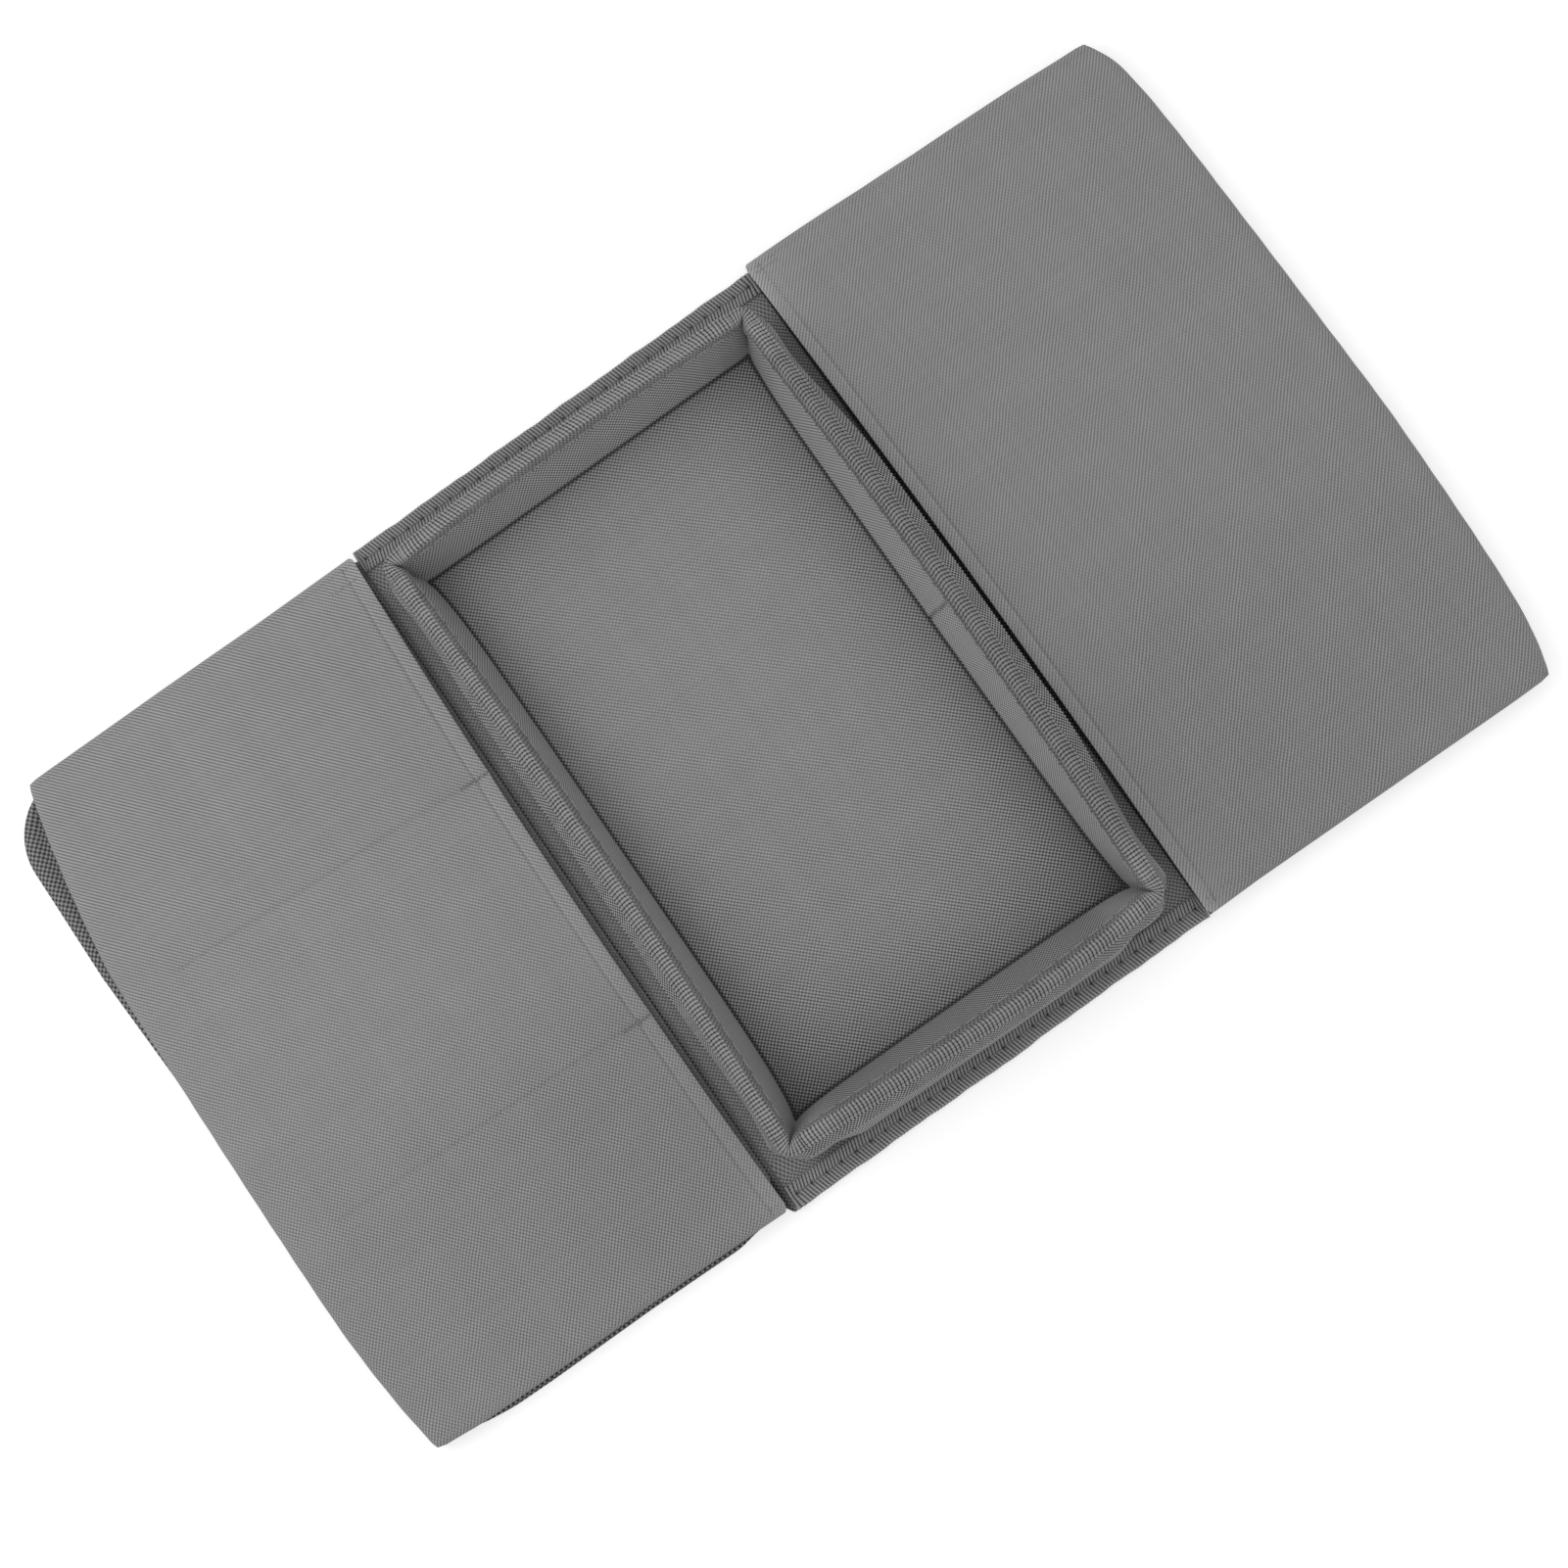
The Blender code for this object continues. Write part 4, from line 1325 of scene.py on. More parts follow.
            def half_corner(end: int, turn: Array) -> Array:
                """Half of a corner at this end of the wall: its inner line and its outer line."""
                start = line(np.array(float(end * reach)), self.inner)
                sharp = self.flat_place(side, depth + self.inner, end * (run + self.inner))
                notch = self.flat_place(side, depth + pinch, end * (run + pinch))
                t = turn[:, None]
                inside = (1 - t) ** 2 * start + 2 * t * (1 - t) * sharp + t ** 2 * notch
                travel = turn * (self.corner_reach + self.outer * math.pi / 4)
                on_line = np.minimum(travel / run, self.corner_reach / run)
                flat = line(end * (reach + on_line), self.outer)
                angle = np.maximum(travel - self.corner_reach, 0) / self.outer
                bend = self.flat_place(side, depth + self.outer * np.cos(angle),
                                       end * (run + self.outer * np.sin(angle)))
                outside = np.where((travel > self.corner_reach)[:, None], bend, flat)
                return np.stack([inside, outside])

            before = half_corner(-1, turns)[:, ::-1]
            after = half_corner(1, turns)
            along = straight * reach
            middle = np.stack([line(along, self.inner), line(along, self.outer)])
            bounds = np.concatenate([before[:, 1:], middle, after], 1)
            flat = mix(bounds[0], bounds[1], blend_share)
            places = np.concatenate([-np.ones(len(turns) - 1), along, np.ones(len(turns))])
            sunk = self.dip * level * ramp(np.abs(places), 1 - self.dip_reach / run, 1) ** 2
            loop.append(np.concatenate([flat, (z - sunk)[:, None]], 1))
        return np.concatenate(loop)

    def spread(self, stations: list, z: float) -> Array:
        """How far the outer cloth stands off.

        Args:
            stations: As divided above.
            z: The height.

        Returns:
            The distance at each station.
        """
        sides, corners = self.spots(stations, self.spread_reaches)
        full = np.array([at_place(self.spreads[side], z) for side in sides])
        at_corner = mix(float(at_place(self.corner_spread, z)), float(at_place(self.front_corner_spread, z)),
                        self.frontness(stations))
        return mix(full, at_corner, corners)

    def frontness(self, stations: list) -> Array:
        """How far each station belongs to the front wall.

        Args:
            stations: As divided above.

        Returns:
            1 on that wall, 0 on the others, and a share between round a corner.
        """
        shares = []
        for side, straight, turns in stations:
            before, after = turns[::-1][1:] / 2, turns / 2
            if side is Side.FRONT:
                shares += [1 - before, np.ones(len(straight)), 1 - after]
            else:
                shares += [before * (side is Side.RIGHT), np.zeros(len(straight)),
                           after * (side is Side.LEFT)]
        return np.concatenate(shares)

    def pinch_at(self, z: float) -> float:
        """How far the inner corner is pinched at this height: sharp at the foot, slit above it."""
        return float(mix(0.4 * self.inner, 1.3 * self.pinch, ease(self.share(z), 0.0, 0.45)))


@dataclass
class TrayWalls:
    """The walls' cloths and boards."""

    sizes: TraySizes
    wardrobe: Wardrobe
    walls: WallRing
    levels: int = 18
    station_step: float = 0.0012
    lining_swell: float = 0.0005
    cover_foot: float = 0.0018      # height of the outer cloth's lower edge
    side_shades: dict = field(default_factory=lambda: {       # painted shade: how much darker the lining is drawn on each wall, lighter below 0, for the light that falls there
        Side.RIGHT: -0.14, Side.BACK: -0.09, Side.LEFT: 0.0, Side.FRONT: 0.24})

    def make_cloth(self, name: str, inside: float, node: str, foot: float, outer: bool) -> Piece:
        """Builds one of the walls' two cloths as a ring.

        Args:
            name: The piece's name.
            inside: Offset of its inner face.
            node: The solid it stands for.
            foot: Height of its lower edge.
            outer: True for the outer cloth, which stands off, and false for the lining, which bellies.

        Returns:
            The cloth.
        """
        s, walls = self.sizes, self.walls
        stations = walls.stations(self.station_step, 7)
        heights = [mix(foot, s.wall_top_z, step / self.levels) for step in range(self.levels + 1)]
        sides, corners = walls.spots(stations)
        # Painted shade of each wall's lining, none at the corners.
        side_shades = np.array([self.side_shades[side] for side in sides]) * (1 - corners)
        rows, shades = [], []
        for offset in (inside, inside + s.cloth):
            order = heights if offset == inside else heights[::-1]
            for z in order:
                spread = walls.spread(stations, z) if outer else None
                loop = walls.ring(stations, offset, z, walls.pinch_at(z), spread)
                if not outer:
                    loop[:, :2] *= 1 - self.belly(loop, z)[:, None]
                rows.append(loop)
                lining_shade = self.foot_shade(loop, z) + side_shades
                shades.append(np.full(len(loop), self.cover_shade(z)) if outer else lining_shade)
        points = np.stack(rows)
        middle = points[self.levels // 2]
        along = run_lengths(np.concatenate([middle, middle[:1]]))
        across = np.array(heights + heights[::-1] + heights[:1])
        uv = np.stack(np.meshgrid(along, across), -1)
        piece = grid_piece(name, points, uv, close_along=True, close_across=True, flip=True)
        paint(piece, SHADE, np.stack(shades))
        face_out(piece)
        fit(piece, *self.finish_of(outer), "tray", node)
        return piece

    def finish_of(self, outer: bool) -> tuple:
        """The material and slot of the outer cloth or the lining."""
        return (self.wardrobe.cover, "wall_cloth") if outer else (self.wardrobe.wall, "floor_cloth")

    def cover_shade(self, z: float) -> float:
        """How dark the outer cloth is painted at this height: painted shade, darkest at its foot, beside the
        flaps.
        """
        return float(0.60 * (1 - ease(z, 0.0036, 0.0060)))

    def seam_place(self, share: float) -> float:
        """Where the lining's seam on the right wall lies along it, at this share of its height."""
        return mix(0.0011, -0.0016, share)

    def foot_shade(self, loop: Array, z: float) -> Array:
        """How dark the lining is painted: painted shade along its seam, and in the crease at its foot.

        Args:
            loop: Points round it at one height.
            z: That height.

        Returns:
            The shade at each point.
        """
        share = float(self.walls.share(z))
        seam = bump_at(loop[:, 1], self.seam_place(share), 0.0006) * (loop[:, 0] > 0.06)
        return 0.60 * seam * (share < 0.80) + 0.5 * float(1 - ease(share, 0.0, 0.06))

    def belly(self, loop: Array, z: float) -> Array:
        """Swells the lining inwards: a soft hump beside each corner, and one seam.

        Args:
            loop: Points round it at one height.
            z: That height.

        Returns:
            Share by which each point comes inwards.
        """
        share = float(self.walls.share(z))
        from_sides = np.abs(np.abs(loop[:, 0]) - self.sizes.well_width / 2)
        from_ends = np.abs(np.abs(loop[:, 1]) - self.sizes.well_length / 2)
        from_corner, across = np.minimum(from_sides, from_ends), np.maximum(from_sides, from_ends)
        hump = bump_at(across, 0.009, 0.005) * math.sin(math.pi * min(max(share, 0), 1))
        from_seam = loop[:, 1] - self.seam_place(share)
        seam = bump_at(from_seam, 0.0008, 0.0006) - 1.2 * bump_at(from_seam, -0.0004, 0.0006)
        seam = seam * (loop[:, 0] > 0)
        radius = np.linalg.norm(loop[:, :2], axis=1)
        return self.lining_swell * (hump + 0.9 * seam * (from_corner < 0.02)) / radius

    def build(self) -> None:
        """Builds and dresses the walls."""
        s = self.sizes
        lining = self.make_cloth("inner_wall_cloth", 0.0, "wall_lining", s.foot_z - 0.0001, False)
        cover = self.make_cloth("outer_wall_cloth", s.wall_stack - s.cloth, "wall_outer_cover",
                                self.cover_foot, True)
        for name in ("back_wall_board", "front_wall_board", "left_wall_board", "right_wall_board"):
            dress_solid(name, self.wardrobe.board)
        log.info("walls: %s, %s", lining.name, cover.name)


@dataclass
class RimBinding:
    """The ribbed tape folded over the top of the walls."""

    sizes: TraySizes
    wardrobe: Wardrobe
    walls: WallRing
    stitcher: Stitcher
    rib: float = 0.00158
    samples: int = 4
    rib_depth: float = 0.00030
    probe: float = 0.0001           # how far out a second ring is read, for the direction outwards
    inner_leg: float = 0.0034
    outer_leg: float = 0.0090
    apex: float = 0.0055            # where the ribs' arcs turn, along the tape's width from its inner edge
    arcs: dict = field(default_factory=lambda: {
        Side.RIGHT: -110.0, Side.BACK: 0.0, Side.LEFT: 90.0, Side.FRONT: -90.0})
    slants: dict = field(default_factory=lambda: {
        Side.RIGHT: 0.0, Side.BACK: 0.40, Side.LEFT: 0.0, Side.FRONT: 0.0})
    pressed: dict = field(default_factory=lambda: {     # offset up to which the ribs are pressed flat
        Side.RIGHT: -0.0011, Side.BACK: -0.0002, Side.LEFT: 0.0002, Side.FRONT: -0.0004})
    side_shades: dict = field(default_factory=lambda: {       # painted shade: how much darker the tape is drawn on each wall, for the light that falls there
        Side.RIGHT: 0.34, Side.BACK: 0.12, Side.LEFT: 0.18, Side.FRONT: 0.27})

    def section(self) -> tuple:
        """The tape's outer face from its inner edge over the top to its outer edge, and its inner face.

        Returns:
            The two paths of (offset, height), and a share of the ribs' depth at each outer point.
        """
        top = self.sizes.height
        outer = [(-0.00085, -self.inner_leg, 0.0), (-0.00125, -0.00325, 0.0),
                 (-0.00135, -0.00295, 0.0), (-0.00105, -0.0026, 0.2), (-0.0009, -0.0021, 0.5),
                 (-0.0008, -0.0014, 0.6), (-0.0005, -0.0008, 0.7), (0.0, -0.0004, 0.8),
                 (0.0008, -0.0001, 0.9), (0.0016, 0.0, 1.0), (0.0025, -0.0001, 1.0),
                 (0.0033, -0.0003, 1.0), (0.0039, -0.0006, 0.8), (0.0043, -0.0009, 0.3),
                 (0.0046, -0.0007, 0.1), (0.0050, -0.0005, 0.0), (0.0054, -0.0007, 0.0),
                 (0.0057, -0.0011, 0.0), (0.0057, -0.0015, 0.0), (0.0054, -0.0019, 0.2),
                 (0.0051, -0.0022, 0.8), (0.0051, -0.0033, 1.0), (0.0051, -0.0045, 1.0),
                 (0.0051, -0.0058, 1.0), (0.0051, -0.0070, 1.0), (0.0051, -0.0086, 0.8),
                 (0.0051, -self.outer_leg, 0.2)]
        inner = [(-0.0003, -self.inner_leg), (-0.0003, -0.0016), (0.0002, -0.0011), (0.0035, -0.0011),
                 (0.0041, -0.0016), (0.0041, -0.0033), (0.0041, -0.0058), (0.0041, -self.outer_leg)]
        outer = np.array(outer)
        return outer[:, :2] + (0, top), np.array(inner) + (0, top), outer[:, 2]

    def make_tape(self) -> Piece:
        """Builds the tape as a closed ribbed ring.

        Returns:
            The tape.
        """
        walls = self.walls
        path, inner, ribs = self.section()
        stations = walls.stations(self.rib / self.samples)
        rim = walls.ring(stations, walls.outer, self.sizes.height - 0.001, walls.pinch)
        travel = run_lengths(np.concatenate([rim, rim[:1]]))
        count = round(travel[-1] / self.rib)
        phase = travel * (count / travel[-1])
        across = run_lengths(np.concatenate([path, inner[::-1], path[:1]]))
        sides, corners = walls.spots(stations)
        open_wall = np.append(1 - corners, 1 - corners[0])
        arc = np.array([self.arcs[side] for side in sides + sides[:1]]) * open_wall
        slant = np.array([self.slants[side] for side in sides + sides[:1]]) * open_wall
        beyond = np.minimum(across, run_lengths(path)[18])[:, None] - self.apex
        # Painted shade for each wall's tape, one value round the corners.
        side_shades = mix(np.array([self.side_shades[side] for side in sides]), 0.15, corners)
        curved = arc * np.minimum(beyond, 0) ** 2 + 0.4 * arc * np.maximum(beyond, 0) ** 2
        ahead = phase[None] - (curved + slant * beyond) / self.rib
        uneven = wander(travel[:-1], (0.0117, 0.05, 0.3), (0.0273, 0.06, 1.9))
        flat_to = mix(np.array([self.pressed[side] for side in sides]), -0.0008, corners)
        normals = self.outward(path)
        rows, plain, dotted, shades = [], [], [], []
        for index, ((offset, z), rib, (across_out, up)) in enumerate(zip(path, ribs, normals)):
            crest = np.abs(np.sin(math.pi * ahead[index, :-1])) ** 0.6
            leg = offset > 0.004 and z < self.sizes.height - 0.0019
            spread = walls.spread(stations, z) if leg else None
            base = walls.ring(stations, offset, z, walls.pinch, spread)
            beside = walls.ring(stations, offset + self.probe, z, walls.pinch, spread)
            out = (beside - base) / self.probe
            out[:, 2] = 0
            place = offset + (z - self.sizes.height) * 0.3 * (offset < 0)
            pressed = 1 - ramp(place, flat_to - 0.0006, flat_to + 0.0006)
            sink = self.rib_depth * rib * (1 - crest) * (1 + uneven) * (1 - pressed) * (0.08 if leg else 1.0)
            base[:, :2] -= out[:, :2] * (across_out * sink)[:, None]
            base[:, 2] -= up * sink
            rows.append(base)
            plain.append(pressed)
            dotted.append(np.full(len(base), 1.0 if leg else 0.0))
            shades.append(side_shades * 0.10 if leg else side_shades)
        for offset, z in inner[::-1]:
            leg = offset > 0.004
            spread = walls.spread(stations, z) if leg else None
            rows.append(walls.ring(stations, offset, z, walls.pinch, spread))
            plain.append(np.ones(len(base)))
            dotted.append(np.zeros(len(base)))
            shades.append(side_shades)
        points = np.stack(rows)
        uv = np.stack([ahead * self.rib, np.repeat(across[:, None], len(phase), 1)], -1)
        piece = grid_piece("rim_tape", points, uv, close_along=True, close_across=True)
        paint(piece, PLAIN, np.stack(plain))
        paint(piece, DOTTED, np.stack(dotted))
        paint(piece, SHADE, np.stack(shades))
        face_out(piece, recalculated=False)
        fit(piece, self.wardrobe.rim, "binding_tape", "tray", "rim_binding")
        return piece

    def outward(self, path: Array) -> Array:
        """Unit directions out of the tape at each point of its section.

        Args:
            path: The section.

        Returns:
            One direction for each point.
        """
        along = np.gradient(path, axis=0)
        out = np.stack([-along[:, 1], along[:, 0]], -1)
        return out / np.linalg.norm(out, axis=1)[:, None]

    def make_seam(self) -> Piece:
        """Sews the tape along its inner edge.

        Returns:
            The stitches.
        """
        walls = self.walls
        stations = walls.stations(0.004, 4)
        loop = walls.ring(stations, -0.00130, self.sizes.height - 0.0026, walls.pinch)
        runs, start = [], 0
        for _, straight, turns in stations:
            first = start + len(turns)
            runs.append(loop[first:first + len(straight) - 2])
            start += len(straight) + 2 * len(turns) - 1
        return self.stitcher.sew("rim_stitches", runs, "tray", self.wardrobe.thread, "binding_tape")

    def build(self) -> None:
        """Builds and dresses the rim."""
        log.info("rim: %s with %s", self.make_tape().name, self.make_seam().name)


@dataclass(frozen=True)
class Corner:
    """How the end of a flap falls back towards one corner."""

    start_share: float
    drop: float
    power: float

    def fall(self, y: Values, half: float) -> Array:
        """How far the end falls back at this y, of half the flap's length."""
        return self.drop * ramp(y, self.start_share * half, half) ** self.power


@dataclass
class Flap:
    """One flap: back cloth, felt and lining under a pocket cloth. Lengths run outwards from its fold."""

    sizes: TraySizes
    wardrobe: Wardrobe
    stitcher: Stitcher
    base: TrayBase
    finish: Material
    name: str
    side: int
    seam_length: float
    end_bow: float
    end_roll: float
    roll_power: float
    crown: float
    far_corner: Corner
    near_corner: Corner
    mouth_start: float
    mouth_bow: float
    mouth_flare: float
    back_length: float
    back_skew: float
    back_shift: float
    back_round: float
    back_growth: tuple = ((0.0, 0.0), (1.0, 0.0))   # how far the +Y side lies past its plain line, at shares
    front_growth: tuple = ((0.0, 0.0), (1.0, 0.0))  # and the -Y side
    under_growth: float = 0.0       # how far the back cloth shows past the pocket cloth along the -Y side
    dividers: tuple = ()
    divider_slants: tuple = ()      # how far each divider has moved towards +Y at the flap's end
    swells: tuple = ()              # soft waves of the pocket cloth: x share, y, reach and height
    pocket_height: float = 0.0083
    hem: float = 0.0070
    mouth_slant: float = 0.0050
    mouth_skew: float = 0.0         # how much nearer the fold the mouth lies at its +Y end
    divider_run: float = 0.0160
    seam_allowance: float = 0.0015
    lining_start: float = 0.0015
    lining_notch: float = 0.0016
    roll_steps: int = 9
    grid_step: float = 0.0021
    seam_inset: float = 0.0008      # of the side topstitching from the side seam
    mouth_light: float = 0.22       # painted light: how much lighter the pocket cloth is drawn at its mouth, against the shade of the wall beside it
    front_shade: float = 0.10       # painted shade: how much darker it is drawn along the -Y side, where less light falls

    @property
    def body(self) -> str:
        """The body that it rides on."""
        return f"{self.name}_flap"

    def outwards(self, distance: Values) -> Values:
        """The x that lies this far outside the fold line."""
        return self.side * (self.sizes.fold + distance)

    def seam_end(self, y: Values) -> Array:
        """How far the end seam lies from the fold line, at this y.

        Args:
            y: Where along the flap.

        Returns:
            The distance.
        """
        half = self.sizes.flap_seam_y
        y = np.asarray(y, float)
        bow = self.end_bow * (1 - (y / half) ** 2)
        return self.seam_length + bow - self.far_corner.fall(y, half) - self.near_corner.fall(-y, half)

    def flare(self, y: Values, share: Values) -> Array:
        """How far the cloth is pulled out towards its long sides.

        Args:
            y: Where along the flap.
            share: Share of the way out from the mouth.

        Returns:
            The distance towards +Y.
        """
        back = ramp(y, 0, self.sizes.flap_seam_y) ** 4
        front = ramp(-np.asarray(y, float), 0, self.sizes.flap_seam_y) ** 4
        grown = back * at_place(self.back_growth, share) - front * at_place(self.front_growth, share)
        return self.mouth_flare * (1 - ramp(share, 0, 0.5) ** 2) * back + grown

    def mouth(self, y: Values) -> Array:
        """Where the pocket's mouth lies, outwards from the fold line."""
        place = np.asarray(y) / self.sizes.flap_seam_y
        return self.mouth_start + self.mouth_bow * (1 - place ** 2) - self.mouth_skew * place

    def back_end(self, y: Values) -> Array:
        """How far the end of the back cloth lies from the fold line.

        Args:
            y: Where along the flap.

        Returns:
            The distance.
        """
        half = self.sizes.flap_seam_y
        length = self.back_length + self.back_skew * (2 * ramp(y, -half / 2, half / 2) - 1)
        shows = ease(y, -0.045, -0.005) * (self.back_skew > 0)
        length = mix(np.minimum(length, self.seam_end(y) + 0.0012), length, shows)
        reach = mix(0.0040, self.back_round, shows)
        inside = np.abs(y) - (half + self.seam_allowance - reach)
        rounded = length - reach + np.sqrt(np.maximum(0, reach ** 2 - np.maximum(inside, 0) ** 2))
        return np.where(inside <= 0, length, rounded)

    def roll_depth(self, y: Values) -> Array:
        """How far the pocket cloth rolls out past the end seam."""
        return mix(self.end_roll, self.sizes.edge_roll, np.abs(y / self.sizes.flap_seam_y) ** self.roll_power)

    def drift(self, y: Values, share: Values) -> Array:
        """How far the cloth's lengthwise lines have moved with the slanting dividers.

        Args:
            y: Where along the flap.
            share: Share of the way out from the mouth.

        Returns:
            The distance towards +Y.
        """
        moved = np.zeros(np.broadcast(y, share).shape)
        for place, slant in zip(self.dividers, self.divider_slants):
            moved = moved + slant * (share - 0.2) * bump_at(y, place, 0.030)
        return moved

    def top_height(self, share: Values, y: Values) -> Array:
        """Height of the pocket cloth's upper face.

        Args:
            share: Share of the way from the mouth to the end seam.
            y: Place across, before the dividers' slant.

        Returns:
            The height at each place.
        """
        s = self.sizes
        half = s.flap_seam_y
        outward = share * self.seam_length
        high = self.pocket_height + self.crown * np.sin(math.pi * share) * (1 - (y / half) ** 2)
        run_out = 1 - self.divider_run / self.seam_length
        bounds = [-half, *self.dividers, half]
        dip = np.zeros(np.broadcast(y, share).shape)
        for place in self.dividers:
            index = bounds.index(place)
            reach = np.where(y < place, (place - bounds[index - 1]) / 2, (bounds[index + 1] - place) / 2)
            across = 1 - np.abs(y - place) / reach
            deep = np.clip(across, 0, 1) ** 7 * (1 - ease(share, run_out - 0.15, run_out))
            stitched = 0.10 * bump_at(y, place, 0.0008) * (1 - ease(share, run_out - 0.02, run_out + 0.02))
            puckered = 0.16 * bump_at(y, place, 0.006) * (1 - ease(share, 0.03, 0.16))
            dip = dip + 0.10 * deep * (1 - ease(share, 0.2, 0.9)) + stitched + puckered
        low = s.lining_top + s.gap + s.cloth
        height = mix(high, low, np.clip(dip, 0, 0.92))
        for at_share, at_y, reach, swell in self.swells:
            across = bump_at(y, at_y, reach * 1.3)
            height = height + swell * bump_at(outward, at_share * self.seam_length, reach) * across
        height = height - 0.00045 * bump_at(outward, self.hem, 0.0005)
        edge = half - self.seam_inset
        for sign in (-1, 1):
            height = height - 0.00030 * bump_at(y, sign * edge, 0.0005)
        return height + 0.00018 * np.sin(share * 9 + y * 60) * np.sin(y * 47 + share * 3)

    def flat_place(self, share: Values, y: Values) -> Array:
        """The x and y of a place on the pocket cloth."""
        x = self.outwards(mix(self.mouth(y), self.seam_end(y), share))
        return np.stack([x, y + self.flare(y, share) + self.drift(y, share)], -1)

    def make_pocket(self) -> Piece:
        """Builds the pocket cloth: drawn over the flap and rolled round to the back at its edges.

        Returns:
            The cloth.
        """
        s = self.sizes
        half = s.flap_seam_y
        edge = half - self.seam_inset
        ys = lines_between(-half, half, self.grid_step, [-edge, *self.dividers, edge])
        rows = lines_between(0, self.seam_length, self.grid_step, [self.hem]) / self.seam_length
        y, share = np.meshgrid(ys, rows)
        flat = self.flat_place(share, y)
        top = np.concatenate([flat, self.top_height(share, y)[..., None]], -1)
        last_row, last_column = len(rows) - 1, len(ys) - 1
        path = [(row, 0) for row in range(last_row + 1)]
        path += [(last_row, column) for column in range(1, last_column + 1)]
        path += [(row, last_column) for row in range(last_row - 1, -1, -1)]
        seam = np.array([top[spot] for spot in path])
        out = self.seam_directions(seam)
        spot_share = np.array([rows[row] for row, _ in path])
        spot_y = np.array([ys[column] for _, column in path])
        at_end = ramp(spot_share, 0.90, 0.985)
        depth = mix(s.edge_roll, self.roll_depth(spot_y), np.where(spot_share > 0.999, 1.0, 0.0))
        depth = self.smoothed(depth, run_lengths(seam), 0.004)
        back = self.mouth_slant * (1 - ramp(spot_share, 0, 0.14))
        puckers = 0.00006 * np.sin(run_lengths(seam) * 2 * math.pi / 0.017)
        strips = []
        for step in range(1, self.roll_steps + 1):
            angle = math.pi / 2 - math.pi * step / self.roll_steps
            fall = (1 - math.sin(angle)) / 2
            foot = s.cloth + s.gap + s.cloth * (1 + math.sin(angle)) / 2
            place = seam[:, :2] + out * (depth * math.cos(angle))[:, None]
            place[:, 0] += self.side * back * fall
            pucker = puckers * math.sin(math.pi * fall) * at_end
            place += out * pucker[:, None]
            strips.append(np.concatenate([place, mix(seam[:, 2], foot, fall)[:, None]], 1))
        points = np.concatenate([top.reshape(-1, 3), *strips])
        index = np.arange((last_row + 1) * (last_column + 1)).reshape(last_row + 1, last_column + 1)
        quads = [quads_of(index).reshape(-1, 4)]
        ring = np.array([index[spot] for spot in path])
        widths = np.cumsum([np.linalg.norm(after - before, axis=1)
                            for before, after in zip([seam, *strips], strips)], 0)
        uv = np.concatenate([flat.reshape(-1, 2)] + [seam[:, :2] + out * width[:, None] for width in widths])
        for step in range(self.roll_steps):
            base = (last_row + 1) * (last_column + 1) + step * len(path)
            outer = np.arange(base, base + len(path))
            quads.append(np.stack([ring[:-1], outer[:-1], outer[1:], ring[1:]], -1))
            ring = outer
        quads = np.concatenate(quads)
        if self.side > 0:
            quads = quads[:, ::-1]
        piece = mesh_piece(f"{self.name}_pocket", points, quads, uv[quads], 70)
        from_mouth = np.concatenate([share.ravel()] + [spot_share] * self.roll_steps) * self.seam_length
        across = np.concatenate([y.ravel()] + [spot_y] * self.roll_steps)
        # Painted shade along the -Y side, and painted light at the mouth.
        darker = self.front_shade * ease(-across, 0.0, 0.085) * (1 - 0.5 * ramp(from_mouth, 0.05, 0.15))
        paint(piece, SHADE, darker - self.mouth_light * np.exp(-from_mouth / 0.0075))
        self.face_up(piece)
        doubled = np.flatnonzero(from_mouth < self.hem + 0.0001)
        thicken(piece, s.cloth, -1.0, doubled)
        self.soften_mouth(piece)
        return piece

    def seam_directions(self, seam: Array) -> Array:
        """Level directions out of the seam, turning smoothly round its corners.

        Args:
            seam: Points along the seam.

        Returns:
            One direction for each point.
        """
        along = np.gradient(seam[:, :2], axis=0)
        along /= np.linalg.norm(along, axis=1)[:, None]
        out = np.stack([along[:, 1], -along[:, 0]], -1) * self.side
        lengths = run_lengths(seam)
        out = np.stack([self.smoothed(out[:, axis], lengths, 0.0026) for axis in range(2)], -1)
        return out / np.linalg.norm(out, axis=1)[:, None]

    def smoothed(self, values: Array, lengths: Array, reach: float) -> Array:
        """Values along a path, each averaged with its neighbours within this reach.

        Args:
            values: One for each point of the path.
            lengths: Of the path, up to each point.
            reach: How far the averaging reaches.

        Returns:
            The averaged values.
        """
        weights = np.exp(-((lengths[:, None] - lengths[None]) / reach) ** 2)
        spacing = np.gradient(lengths)
        weights = weights * spacing[None]
        return weights @ values / weights.sum(1)

    def face_up(self, piece: Piece) -> None:
        """Turns an open sheet's faces the same way, upwards on its top.

        Args:
            piece: The sheet.
        """
        with opened(piece) as bm:
            bmesh.ops.recalc_face_normals(bm, faces=bm.faces)
            bm.normal_update()
            if sum(face.normal.z * face.calc_area() for face in bm.faces if abs(face.normal.z) > 0.5) < 0:
                bmesh.ops.reverse_faces(bm, faces=bm.faces)

    def soften_mouth(self, piece: Piece) -> None:
        """Rounds the folded edge of the pocket's mouth.

        Args:
            piece: The pocket cloth.
        """
        with opened(piece) as bm:
            edges = [edge for edge in bm.edges if len(edge.link_faces) == 2 and edge.calc_face_angle(0) > 1.2
                     and self.near_mouth(edge)]
            bmesh.ops.bevel(bm, geom=edges, offset=0.00028, segments=2, profile=0.6, affect="EDGES",
                            clamp_overlap=True)
        smooth(piece.data, 60)

